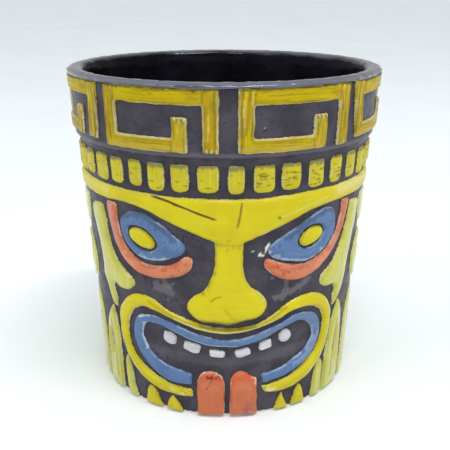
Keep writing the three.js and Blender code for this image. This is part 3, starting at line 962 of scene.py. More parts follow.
@dataclass(frozen=True)
class Enamel(Finish):
    """Brushed enamel over stained clay, rubbed to cream at its edges, the cream also standing in for a
    painted highlight.
    """

    name: str
    colour: Colour
    shade: Colour
    streak: Colour
    streaks: float = 0.4
    wear_and_highlight: float = 0.55
    edge_colour: Colour = CREAM
    gloss: float = 0.36
    light: Colour = srgb(214, 200, 40)
    shine: float = 0.14
    coat: float = 0.14
    streak_from: float = 0.56
    slot: str = ""  # the record's material slot, where it isn't the name

    def mixed(self) -> bpy.types.Material:
        """Mixes the enamel.

        Returns:
            The material.
        """
        board = FinishBoard(self.name)
        stroke = board.attribute("stroke", "Vector")
        edge = board.attribute("edge", "Fac")
        dry = board.attribute("dry", "Fac")
        place = board.place()
        broad = board.noise(board.stretched(stroke, (0.035, 0.6, 1.0)), 1.0, 3.0)
        fine = board.noise(board.stretched(stroke, (0.075, 2.6, 1.0)), 1.0, 3.0, 0.6)
        cloud = board.noise(place, 110.0, 3.0)
        base = board.mix(board.step(cloud, 0.35, 0.7, 0.0, 0.55), self.colour, self.shade)
        base = board.mix(board.step(broad, 0.52, 0.74, 0.0, 0.35), base, self.light)
        lines = board.step(fine, self.streak_from, self.streak_from + 0.16, 0.0, self.streaks)
        base = board.mix(lines, base, self.streak)
        bare = board.sum("ADD", board.sum("MULTIPLY", dry, 0.62), fine)
        base = board.mix(board.step(bare, 0.84, 0.98, 0.0, 0.85), base, self.streak)
        touch = board.attribute("touch", "Color")
        share = board.attribute("touch", "Alpha")
        base = board.mix(share, base, touch)
        crumble = board.noise(place, 1500.0, 3.0)
        wander = board.sum("MULTIPLY", board.sum("SUBTRACT", crumble, 0.5), 0.5)
        reach = board.sum("ADD", edge, wander)
        # cream along the edges: paint rubbed thin there, and a painted highlight where the edge rounds over
        rim_share = board.sum("MULTIPLY", board.step(reach, 0.42, 0.16), board.step(reach, -0.16, 0.02))
        patchy = board.step(board.noise(place, 240.0, 2.0), 0.42, 0.6, 0.0, self.wear_and_highlight)
        base = board.mix(board.sum("MULTIPLY", rim_share, patchy), base, self.edge_colour)
        covered = board.step(reach, -0.14, 0.0)
        # the skirt round each field: stain caught at the foot of the edge, darkened to near black as painted
        # shade in the crevice
        stain_and_crevice_shade = board.mix(0.85, board.stain_colour(), STAIN_DARK)
        base = board.mix(covered, stain_and_crevice_shade, base)
        board.give("Base Color", base)
        board.give("Specular IOR Level", self.shine)
        board.clear_glaze(self.coat)
        rough = board.step(fine, 0.3, 0.75, self.gloss - 0.07, self.gloss + 0.12)
        board.give("Roughness", rough)
        relief = board.sum("ADD", board.sum("MULTIPLY", fine, 0.7), board.sum("MULTIPLY", crumble, 0.3))
        board.bump(relief, 0.00006, 0.55)
        return board.made


@dataclass(frozen=True)
class Stain(Finish):
    """Dark stain wiped over the bare clay, with the clay showing at the foot."""

    name: str = "dark_stain"
    gloss: float = 0.38

    def mixed(self) -> bpy.types.Material:
        """Mixes the stain.

        Returns:
            The material.
        """
        board = FinishBoard(self.name)
        place = board.place()
        edge = board.attribute("edge", "Fac")
        crumble = board.noise(place, 900.0, 3.0)
        base = board.stain_colour()
        base = board.mix(board.attribute("touch", "Alpha"), base, board.attribute("touch", "Color"))
        bare = board.step(board.sum("ADD", edge, board.sum("MULTIPLY", crumble, 0.9)), 1.15, 1.3)
        board.give("Base Color", board.mix(bare, CLAY, base))
        board.give("Specular IOR Level", 0.1)
        board.clear_glaze(0.08)
        mottle = board.noise(place, 320.0, 3.0)
        rough = board.step(mottle, 0.3, 0.7, self.gloss - 0.08, self.gloss + 0.1)
        board.give("Roughness", rough)
        board.bump(board.sum("ADD", mottle, board.sum("MULTIPLY", crumble, 0.4)), 0.00012, 0.6)
        return board.made


@dataclass(frozen=True)
class BlackGlaze(Finish):
    """Thick black glaze, dull inside the cup and glossy over the rim, where its colour is lifted to grey as a
    painted reflection.
    """

    name: str = "black_glaze"
    colour: Colour = srgb(13, 13, 17)
    shine_from: float = 110.6
    shine_to: float = 112.4
    reflection_grey_from: float = 111.0
    reflection_grey_to: float = 113.2

    def mixed(self) -> bpy.types.Material:
        """Mixes the glaze.

        Returns:
            The material.
        """
        board = FinishBoard(self.name)
        place = board.place()
        cloud = board.noise(place, 60.0, 3.0)
        base = board.mix(board.step(cloud, 0.4, 0.7), self.colour, srgb(24, 22, 30))
        speck = board.step(board.noise(place, 1400.0, 1.0), 0.72, 0.78)
        base = board.mix(board.sum("MULTIPLY", speck, 0.5), base, srgb(70, 66, 78))
        board.give("Roughness", board.step(cloud, 0.3, 0.7, 0.05, 0.1))
        board.bump(board.noise(place, 330.0, 3.0), 0.00045, 0.5)
        board.give("Specular Tint", (0.74, 0.78, 1.0))
        height = board.sum("ADD", board.attribute("edge", "Fac"), board.sum("MULTIPLY", cloud, 3.0))
        # grey over the crown of the rim: a painted reflection of the bright surroundings
        base = board.mix(board.step(height, self.reflection_grey_from, self.reflection_grey_to), base, srgb(52, 52, 68))
        board.give("Base Color", base)
        shine = board.step(height, self.shine_from, self.shine_to, 0.02, 1.0)
        board.give("Specular IOR Level", shine)
        board.clear_glaze(board.step(height, self.shine_from, self.shine_to, 0.03, 1.0), 0.03)
        return board.made


YELLOW = Enamel(
    "yellow_enamel", srgb(200, 186, 12), srgb(184, 168, 10), srgb(160, 142, 14), 0.18, 0.4,
    srgb(200, 200, 140))
BEAD_YELLOW = Enamel(
    "bead_enamel", srgb(192, 178, 26), srgb(168, 156, 28), srgb(106, 92, 28), 0.5, 0.3,
    srgb(200, 200, 140), 0.4, slot="yellow_enamel")
OCHRE = Enamel(
    "ochre_enamel", srgb(180, 158, 8), srgb(148, 126, 14), srgb(96, 78, 20), 0.8, 0.75,
    srgb(196, 190, 150), 0.38, srgb(196, 178, 12), 0.06, 0.06, 0.49)
PALE_YELLOW = Enamel(
    "pale_yellow_enamel", srgb(184, 180, 66), srgb(168, 166, 62), srgb(140, 138, 66), 0.45, 0.5,
    srgb(204, 204, 170), 0.3, srgb(208, 208, 140), 0.14, 0.9)
BLUE = Enamel(
    "blue_enamel", srgb(86, 114, 154), srgb(68, 92, 134), srgb(58, 78, 116), 0.5, 0.5,
    srgb(160, 176, 196), 0.36, srgb(110, 138, 174))
CORAL = Enamel(
    "coral_enamel", srgb(196, 118, 84), srgb(180, 98, 66), srgb(206, 140, 110), 0.35, 0.6,
    srgb(222, 190, 168), 0.36, srgb(214, 140, 112))
TONGUE_RED = Enamel(
    "tongue_enamel", srgb(188, 104, 70), srgb(172, 90, 58), srgb(160, 74, 44), 0.4, 0.6,
    srgb(222, 196, 176), 0.38, srgb(204, 124, 90))
TOOTH_WHITE = Enamel(
    "tooth_enamel", srgb(196, 196, 196), srgb(172, 172, 174), srgb(118, 118, 124), 0.6, 0.2,
    srgb(206, 206, 204), 0.45, srgb(208, 208, 208))
STAINED_CLAY = Stain()
GLAZE = BlackGlaze()


SOFT_EDGE = Edge(width=1.4, crown=0.3)
BAND_EDGE = Edge(width=1.3, crown=0.28)
SIDES = (("left", -1), ("right", 1))
CROWN_RAISE = 4.0  # what the glaze reads over the true height from the crown outwards


def pale_leaf(node: str, points: Sequence[Point], **how: object) -> RaisedField:
    """A raised field in pale yellow, with a soft edge unless it is told otherwise."""
    return RaisedField(node, points, PALE_YELLOW, **{"edge": SOFT_EDGE, **how})


# ---- sub-assemblies


class SubAssembly:
    """A group of raised fields that are built together."""

    def fields(self) -> list[RaisedField]:
        """The group's raised fields."""
        raise NotImplementedError

    def build(self) -> list[Piece]:
        """Builds a piece for each raised field."""
        return [work.build() for work in self.fields()]

@dataclass
class Cup:
    """The fired clay cup and the black glaze that lines it."""

    sides: int = 560
    row: float = 0.55
    foot_round: float = 0.45
    ring_inner: float = 34.0
    recess: float = 1.4
    lip_z: float = 109.5
    skin: float = 0.9
    coat: float = 0.6
    fillet: float = 6.0
    rim_from: float = 107.6
    rim: tuple[Point, ...] = (
        (47.2, 108.3), (47.42, 109.0), (47.72, 109.6), (48.12, 110.05), (48.65, 110.38), (49.3, 110.58),
        (50.1, 110.65), (50.9, 110.62), (51.6, 110.5), (52.15, 110.3), (52.56, 110.05), (52.82, 109.75),
        (52.93, 109.45), (52.86, 109.18), (52.6, 109.03), (52.2, 108.98), (51.5, 109.1))
    crown_band: tuple[float, float] = (48.8, 50.2)
    crown_above: float = 100.0
    touches: tuple[Touch, ...] = (
        Touch(((10.5, 59.2),), WHITE_CHIP, 0.5, 0.8),
        Touch(((15.3, 58.6), (15.5, 60.2), (16.6, 61.4)), WHITE_CHIP, 0.45, 0.85, 1.1),
        Touch(((14.2, 57.6), (15.0, 57.9)), WHITE_CHIP, 0.4, 0.8, 1.1),
        # a darker band on the ground all round the bead row, under the collar
        Touch(((-180, 82.4), (180, 82.4)), STAIN_DARK, 4.6, 0.45, 0.2),
        # a paler band along the rounded lower edge of the collar, across the front
        Touch(((-96, 89.9), (96, 89.9)), srgb(96, 93, 100), 0.95, 0.7, 0.25),
        # pale smears on the ground below the eyes: thinner stain, and painted reflections of the lamps
        Touch(((-27, 45.8), (-21.6, 44.6)), SMEAR_AND_SHEEN, 2.4, 0.42),
        Touch(((-24, 48.2), (-22.6, 46.6)), SMEAR_AND_SHEEN, 1.5, 0.3),
        Touch(((20.5, 42.4), (28, 44.2), (35, 46.6)), SMEAR_AND_SHEEN, 1.5, 0.45),
        Touch(((24.5, 48), (24.8, 45.4)), SMEAR_AND_SHEEN, 0.9, 0.35),
        # a paler band on the ground inside the mouth, under the teeth
        Touch(((-40, 22.8), (0, 20.8), (36, 22.8)), SMEAR_AND_SHEEN, 2.4, 0.16, 0.3),
        Touch(((12.8, 97.2),), BURNT, 0.7, 0.95, 0.2),
        Touch(((12.9, 97.6),), WHITE_CHIP, 0.25, 0.95, 0.1),
        Touch(((18.8, 49.6),), SMEAR_AND_SHEEN, 0.6, 0.5),
    )

    def body_profile(self) -> Array:
        """Profile of the clay, from the middle underneath, up the outside and down the inside.

        Returns:
            Rows of radius and height.
        """
        foot = float(WALL.ground(0))
        ring, deep = self.ring_inner, self.recess
        under = [(0.0, deep), (12.0, deep), (24.0, deep), (ring - 1.6, deep), (ring - 0.8, deep - 0.35),
                 (ring - 0.2, 0.35), (ring + 0.5, 0.0), (38.0, 0.0), (41.0, 0.0)]
        turn = np.radians(np.linspace(-90, 0, 5))
        edge = [(foot - self.foot_round + self.foot_round * math.cos(t),
                 self.foot_round + self.foot_round * math.sin(t)) for t in turn]
        heights = np.arange(self.foot_round + self.row, self.lip_z - 0.6, self.row)
        outside = [(float(WALL.ground(z)), float(z)) for z in heights]
        top = float(WALL.ground(self.lip_z))
        edge_in = float(WALL.inside(self.lip_z)) + self.skin
        lip = [(top - 0.3, self.lip_z - 0.15), (top - 0.9, self.lip_z), (edge_in + 0.8, self.lip_z),
               (edge_in, self.lip_z - 1)]
        return np.array(under + edge + outside + lip + self.well(self.skin, 8))

    def well(self, behind: float, rows: int) -> list[Point]:
        """Profile behind the glaze, down the inside, round the fillet and in to the axis.

        Args:
            behind: How far behind the glaze it lies.
            rows: Rows of points on the straight wall.

        Returns:
            (radius, height) points.
        """
        low = WALL.floor_z + self.fillet
        reach = float(WALL.inside(low)) - self.fillet
        round_off = self.fillet + behind
        points = [(float(WALL.inside(z)) + behind, float(z)) for z in np.linspace(90, low, rows)]
        for t in np.radians(np.linspace(0, -90, 8))[1:]:
            points.append((reach + round_off * math.cos(t), low + round_off * math.sin(t)))
        return [*points, (0.0, WALL.floor_z - behind)]

    def liner_profile(self) -> Array:
        """Profile of the glaze: over the floor, up the inside, round the rim and back behind.

        Returns:
            Rows of radius and height.
        """
        low = WALL.floor_z + self.fillet
        reach = float(WALL.inside(low)) - self.fillet
        front = [(radius, WALL.floor_z) for radius in (0.0, 10.0, 20.0, 28.0)]
        for t in np.radians(np.linspace(-90, 0, 14)):
            front.append((reach + self.fillet * math.cos(t), low + self.fillet * math.sin(t)))
        front += [(float(WALL.inside(z)), float(z)) for z in np.arange(low + 1.2, self.rim_from, 1.2)]
        behind = float(WALL.inside(self.rim_from)) + self.coat
        back = [(51.3, self.lip_z), (48.6, self.lip_z), (behind, 108.0)]
        return np.array([*front, *self.rim, *back, *self.well(self.coat, 6)])

    def turned(self, profile: Array, shape: Callable[..., Rings], outward: bool) -> Mesh:
        """A closed body of revolution.

        Args:
            profile: Rows of radius and height, from axis to axis.
            shape: Gives the radii and heights of rings from degrees and the profile.
            outward: Whether the profile runs anticlockwise in radius and height.

        Returns:
            Arrays named verts, faces, edge, stroke, touch and dry. The edge holds the height in
            millimetres, which tells the glaze where the rim is.
        """
        rings = profile[1:-1]
        count, rows = self.sides, len(rings)
        degrees = np.repeat(np.arange(count)[None] * 360.0 / count, rows, 0)
        radius, z = np.broadcast_arrays(*shape(degrees, rings[:, :1], rings[:, 1:]))
        crown = CROWN_RAISE * ease(radius, *self.crown_band) * (z > self.crown_above)
        height = (z + crown).ravel()
        degrees, radius, z = degrees.ravel(), radius.ravel(), z.ravel()
        poles = np.array([[0, 0, profile[0, 1]], [0, 0, profile[-1, 1]]]) * MM
        step = np.arange(count)
        after = (step + 1) % count
        first, last = rows * count, rows * count + 1
        a = np.concatenate([row * count + step for row in range(rows - 1)])
        b = np.concatenate([row * count + after for row in range(rows - 1)])
        faces = np.vstack((
            np.column_stack((a, b, b + count)),
            np.column_stack((a, b + count, a + count)),
            np.column_stack((np.full(count, first), after, step)),
            np.column_stack((np.full(count, last), first - count + step, first - count + after)),
        ))
        flat = np.column_stack(((((degrees + 180) % 360) - 180) * ARC, z))
        painted = lay_touches(flat, np.zeros((len(flat), 4)), self.touches)
        painted[:, 3] *= radius > WALL.ground(z) - 1.0
        total = len(flat) + len(poles)
        return {
            "verts": np.vstack((wrapped(degrees, z, radius), poles)),
            "faces": faces if outward else faces[:, ::-1],
            "edge": np.append(height, (0.0, 0.0)),
            "stroke": np.zeros((total, 3)),
            "touch": np.vstack((painted, np.zeros((2, 4)))),
            "dry": np.zeros(total),
        }

    @staticmethod
    def clay_shape(degrees: Array, radius: Array, z: Array) -> Rings:
        """The clay's rings with the unevenness of the ground outside, and plain inside."""
        outside = (radius > WALL.ground(z) - 1.2) & (z > 0.2) & (z < 109.1)
        return radius + np.where(outside, uneven_ground(degrees, z) - WALL.ground(z), 0.0), z

    @staticmethod
    def glaze_shape(degrees: Array, radius: Array, z: Array) -> Rings:
        """The glaze's rings with a slow ripple, a curled crown, and runs along its lower edge.

        Args:
            degrees: Degrees round the cup.
            radius: Radii of the profile.
            z: Heights of the profile.

        Returns:
            The radii and the heights.
        """
        near_lip = ease(z, 104.0, 108.4)
        ripple = GLAZE_RIPPLE.at(degrees, z) * (0.06 + 0.94 * near_lip) + GLAZE_CURL.at(degrees, z) * near_lip
        inside = (radius < WALL.inside(z) + 1.6) & (z > WALL.floor_z + 3)
        crown = (radius > 47.5) & (radius < 52.7) & (z > 109.5)
        nose = (radius >= 52.1) & (z > 109.1)
        lower_edge = (radius > 52.1) & (z < 109.6)
        curl = GLAZE_CURL.at(degrees, radius * 2.0)
        out = np.where(inside, ripple, 0.0) + np.where(nose, curl * 3.4 - 0.05, 0.0)
        up = np.where(lower_edge, GLAZE_RUNS.at(degrees, 0.0), 0.0) + np.where(crown, curl * 1.5 - 0.05, 0.0)
        return radius + out, np.minimum(z + up, WALL.height)

    def build(self) -> list[Piece]:
        """Builds the clay cup and its glaze.

        Returns:
            Both pieces.
        """
        body = self.turned(self.body_profile(), self.clay_shape, True)
        clay = mesh_object("fired_cup", [body], STAINED_CLAY)
        settle(clay, "stained_clay", "mug_body")
        lining = self.turned(self.liner_profile(), self.glaze_shape, False)
        glaze = mesh_object("glazed_lining", [lining], GLAZE)
        settle(glaze, "black_glaze", "glaze_liner")
        return [clay, glaze]


GLAZE_RIPPLE = Waves(seed=31, length=15.0, depth=0.09)
GLAZE_CURL = Waves(seed=32, length=4.0, depth=0.022)
GLAZE_RUNS = Waves(seed=33, length=16.0, depth=0.16)


@dataclass(frozen=True)
class KeyBars:
    """The bars of a fret key, measured from its left edge."""

    width: float = 41.2
    bar: float = 5.1
    foot: float = 90.5
    foot_top: float = 94.7
    head_under: float = 104.3
    head: float = 109.3
    hook_right: float = 31.1
    hook_top: float = 100.7

    def upright(self, offset: Array, z: Array) -> Array:
        """Which places lie on an upright bar of a key.

        Args:
            offset: Degrees from the key's left edge.
            z: Heights in millimetres.

        Returns:
            True or False for each place.
        """
        under_hook = (offset < self.hook_right) & (z < self.hook_top + 1)
        hook = (offset > self.hook_right - self.bar) & under_hook
        return (offset < self.bar) | (offset > self.width - self.bar) | hook

    def lean(self, z: float, leaning: float) -> float:
        """How far a key that leans has moved at height z."""
        return leaning * (self.head - z) / (self.head - self.foot)

    def outline(self, start: float, leaning: float, rise: float) -> list[Point]:
        """Outline of a key: left bar, head, hanging right bar, and a foot that hooks up inside.

        Args:
            start: Left edge in degrees.
            leaning: Degrees by which its foot leans to the right.
            rise: How much higher its foot ends than that of the others.

        Returns:
            (degrees, height) points.
        """
        w, b, right = self.width, self.bar, self.hook_right
        low, top = self.foot + rise, self.foot_top + rise
        corners = [(0, low), (right, low), (right, self.hook_top), (right - b, self.hook_top),
                   (right - b, top), (b, top), (b, self.head_under),
                   (w - b, self.head_under), (w - b, low), (w, low), (w, self.head), (0, self.head)]
        return [(start + offset + self.lean(z, leaning), z, CORNER) for offset, z in corners]


KEY_BARS = KeyBars()


@dataclass(frozen=True)
class KeyPaint:
    """The paint of one key of the fret, laid in four layers."""

    start: float  # the key's left edge in degrees
    rise: float  # how much higher its foot ends than that of the others
    tints: tuple[Colour, ...] = (
        srgb(128, 98, 26), srgb(196, 164, 84), srgb(208, 190, 40), srgb(122, 112, 34), srgb(172, 138, 24))

    def sizes(self) -> tuple[float, ...]:
        """Widths of bar, key and hook, bottom and top of the foot, and underside of the head."""
        low, top = KEY_BARS.foot + self.rise, KEY_BARS.foot_top + self.rise
        return KEY_BARS.bar, KEY_BARS.width, KEY_BARS.hook_right, low, top, KEY_BARS.head_under

    def laid(self, rows: Iterable[tuple]) -> list[Touch]:
        """Touches from rows of x, z, x, z and a Touch's other values, x from the key's left edge."""
        s = self.start
        return [Touch(((s + x, z), (s + x2, z2)), *how) for x, z, x2, z2, *how in rows]

    def touches(self) -> list[Touch]:
        """Every layer, in the order that it is laid."""
        return [*self.washes(), *self.streaks(), *self.edges(), *self.ragged_ends()]

    def washes(self) -> list[Touch]:
        """Broad washes: a two-tone foot, browner bars and a bright head.

        Returns:
            The touches.
        """
        b, w, right, low, top, _ = self.sizes()
        hanging, hook = w - b * 0.5, right - b * 0.5
        return self.laid((
            (2, low + 0.9, right - 1, low + 0.9, srgb(176, 150, 62), 1.5, 0.75, 0.25),
            (b, top - 0.9, right - b, top - 0.9, srgb(150, 128, 16), 0.6, 0.6, 0.4),
            (0.5, 96 + self.rise, b - 0.5, 107, srgb(158, 130, 22), 1.9, 0.6, 0.3),
            (hanging, 92 + self.rise, hanging, 107, srgb(160, 132, 22), 2.3, 0.65, 0.3),
            (w - 12, 106.6, w - 4, 106.6, srgb(170, 140, 22), 1.6, 0.5, 0.4),
            (b + 1, 106.7, w - b - 6, 106.7, srgb(182, 162, 2), 1.6, 0.7, 0.25),
            (hook, 92 + self.rise, hook, 100, srgb(182, 158, 50), 2, 0.5, 0.3),
        ))

    def streaks(self) -> list[Touch]:
        """Long brush streaks along every bar.

        Returns:
            The touches.
        """
        draw = np.random.default_rng(int(self.start * 10) % 9973)
        b, w, right, low, top, under = self.sizes()
        head, hook_head = KEY_BARS.head - 1, KEY_BARS.hook_top - 0.4
        runs = [(0.4, low + 0.6, b - 0.4, head, True, 14),
                (w - b + 0.4, low + 0.6, w - 0.4, head, True, 14),
                (right - b + 0.4, low + 0.6, right - 0.4, hook_head, True, 9),
                (b, low + 0.3, right - b, top - 0.5, False, 7),
                (b + 1, under + 0.4, w - b - 1, head + 0.2, False, 3)]
        rows = []
        for left, bottom, side, end, upright, count in runs:
            for _ in range(count):
                x, z = draw.uniform(left, side), draw.uniform(bottom, end)
                tint = self.tints[draw.integers(len(self.tints))]
                if upright:
                    z2 = min(end, z + draw.uniform(3, 9))
                    x2 = x + draw.uniform(-0.3, 0.3)
                else:
                    x2 = min(side, x + draw.uniform(5, 14))
                    z2 = z + draw.uniform(-0.2, 0.2)
                share = draw.uniform(0.4, 0.85) * (1.0 if upright else 0.6)
                rows.append((x, z, x2, z2, tint, draw.uniform(0.22, 0.5), share, 0.25))
        return self.laid(rows)

    def edges(self) -> list[Touch]:
        """Dark seams where bars meet, and thin pale edges with olive beside them.

        Returns:
            The touches.
        """
        b, w, right, low, top, under = self.sizes()
        dark, pale, olive = srgb(104, 76, 20), srgb(164, 160, 124), srgb(108, 90, 18)
        seams = ((b - 0.1, 104.4, 108.6), (w - b + 0.1, 104.4, 108.3), (right - b, low + 0.6, top))
        rows = [(x, bottom, x, head, dark, 0.26, 0.7, 0.3) for x, bottom, head in seams]
        # pale lines along the bars' edges: paint rubbed thin and a painted highlight; olive beside them
        for x, bottom, head, inward in (
            (0.2, low, 109, 1), (b - 0.2, top, under, -1), (w - b + 0.2, low, under, 1),
            (w - 0.2, low, 109, -1), (right - b + 0.2, top, 100, 1), (right - 0.2, low, 100, -1),
        ):
            beside = x + 0.75 * inward
            rows.append((x, bottom, x, head, pale, 0.3, 0.6, 0.3))
            rows.append((beside, bottom, beside, head, olive, 0.36, 0.65, 0.4, 0.1))
        rows += [
            # pale lines along the foot's top edge and under the head: paint rubbed thin and a painted
            # highlight
            (b, top - 0.15, right - b, top - 0.15, srgb(190, 178, 132), 0.3, 0.55, 0.3),
            (b, under + 0.15, w - b, under + 0.15, srgb(168, 160, 84), 0.26, 0.5, 0.3),
            (0, 108.95, w, 108.95, srgb(66, 64, 22), 0.55, 0.9, 0.5),
            (b + 4, 107.1, w - b - 8, 107.2, srgb(118, 104, 14), 0.22, 0.6, 0.3),
        ]
        return self.laid(rows)

    def ragged_ends(self) -> list[Touch]:
        """Dry pale streaks and bare notches at the ends of the hanging bar and the hook.

        Returns:
            The touches.
        """
        draw = np.random.default_rng(int(self.start * 7) % 9973)
        b, w, right, low, _, _ = self.sizes()
        rows = []
        for side, end, way in ((w, low, 1), (right, KEY_BARS.hook_top, -1)):
            for k in range(6):
                x = side - b + 0.6 + k * 0.78
                colour = srgb(206, 200, 176) if k % 2 else STAIN
                rows.append((x, end, x, end + way * draw.uniform(0.5, 1.7), colour, 0.24, 0.6, 0.2))
        return self.laid(rows)


@dataclass
class Collar(SubAssembly):
    """The fret on the collar: eight square spirals."""

    # left edge in degrees, how far the foot leans, and how much higher it ends
    keys: tuple[Point, ...] = (
        (-88.4, -1.2, 1), (-43, 0, 0), (4.4, 0, 0), (48.4, 2.8, 1), (93.6, 0, 0), (138.2, 0, 0), (183, 0, 0),
        (227.4, 0, 0))
    edge: Edge = Edge(width=0.7, crown=0.0, fullness=2.8)

    def key(self, number: int, start: float, leaning: float, rise: float) -> RaisedField:
        """One key with its paint.

        Args:
            number: Its place round the collar.
            start: Its left edge in degrees.
            leaning: Degrees by which its foot leans to the right.
            rise: How much higher its foot ends.

        Returns:
            The raised field.
        """
        middle = start + leaning * 0.5
        return RaisedField(
            f"fret_key_{number}", KEY_BARS.outline(start, leaning, rise), OCHRE, Lay.KEY,
            edge=self.edge, touches=KeyPaint(middle, rise).touches(), key_start=middle, grid=0.42)

    def fields(self) -> list[RaisedField]:
        """The eight keys."""
        return [self.key(i + 1, *row) for i, row in enumerate(self.keys)]


@dataclass
class BeadRow:
    """Thirty-nine beads in a row under the collar."""

    foot: float = 78.3
    head: float = 86.6
    bevel: float = 1.3
    back_count: int = 24
    back_width: float = 6.2
    front: tuple[Point, ...] = (
        (-67.5, 5.6), (-60, 5.7), (-50.6, 6.8), (-41.8, 5.9), (-33, 5.2), (-24.3, 6.2), (-15.3, 6.1),
        (-5.5, 7), (4.1, 5.3), (13.8, 7.2), (23.8, 7.2), (34.2, 6.5), (43.9, 5.9), (53.5, 5.7), (62.5, 5.6))
    streaky: tuple[float, float] = (10.0, 48.0)

    def places(self) -> list[Point]:
        """Centre and width of every bead.

        Returns:
            (centre, width) pairs in degrees.
        """
        last = self.front[-1][0]
        pitch = (self.front[0][0] + 360 - last) / (self.back_count + 1)
        return [*self.front, *((last + pitch * (i + 1), self.back_width) for i in range(self.back_count))]

    def shape(self, number: int, centre: float, half: float) -> list[Point]:
        """Outline of a bead, rounded at the bottom and square at the top.

        Args:
            number: Its place in the row.
            centre: Degrees round the cup.
            half: Half width in degrees.

        Returns:
            (degrees, height) points.
        """
        cut, low = self.bevel / ARC, self.foot + 0.25 * math.sin(number * 2.1)
        right = [
            (half - cut, low), (half - cut * 0.3, low + self.bevel * 0.3), (half, low + self.bevel),
            (half, self.head - 1.2), (half - 0.2, self.head, CORNER)]
        return [(centre + p[0], *p[1:]) for p in [*right, *flipped(reversed(right))]]

    def paint(self, centre: float, half: float, streaky: bool, number: int) -> list[Touch]:
        """Touches of a bead: its shaded top, pale sides and brown streaks.

        Args:
            centre: Degrees round the cup.
            half: Half width in degrees.
            streaky: Whether the brush ran dry on it.
            number: Its place in the row, which seeds the streaks.

        Returns:
            The touches, in order.
        """
        draw = np.random.default_rng(500 + number)
        top = ((centre - half, 86.4), (centre + half, 86.4))
        marks = [Touch(top, srgb(112, 112, 78), draw.uniform(0.35, 1.15), 0.85, 0.35, 0.75)]
        # pale lines down the bead's sides: paint rubbed thin and a painted highlight
        for side in (centre - half + 0.25, centre + half - 0.25):
            marks.append(Touch(((side, 79.6), (side, 84.5)), srgb(196, 194, 132), 0.32, 0.6, 0.3))
        for _ in range(11 if streaky else 2):
            x, z = centre + draw.uniform(-half, half * 0.4), draw.uniform(79.2, 84.6)
            line = ((x, z), (x + draw.uniform(0.8, 2.4), z + draw.uniform(-0.1, 0.1)))
            marks.append(Touch(line, srgb(98, 84, 26), draw.uniform(0.16, 0.28), 0.75, 0.2))
        return marks

    def bead(self, number: int, centre: float, width: float) -> RaisedField:
        """One bead, tucked under the collar."""
        streaky = self.streaky[0] < centre < self.streaky[1]
        return RaisedField(
            f"bead_{number}", self.shape(number, centre, width / 2), BEAD_YELLOW,
            Lay.LEVEL if streaky else Lay.UPRIGHT, edge=Edge(width=1.3, crown=0.1, fullness=2.2),
            touches=self.paint(centre, width / 2, streaky, number), dry=0.2 if streaky else 0.05,
            grid=0.42)

    def build(self) -> Piece:
        """Builds the row as one piece.

        Returns:
            The piece.
        """
        beads = [self.bead(i, centre, width) for i, (centre, width) in enumerate(self.places())]
        piece = fields_object("bead_row", beads, BEAD_YELLOW)
        settle(piece, "yellow_enamel", "bead_string")
        return piece


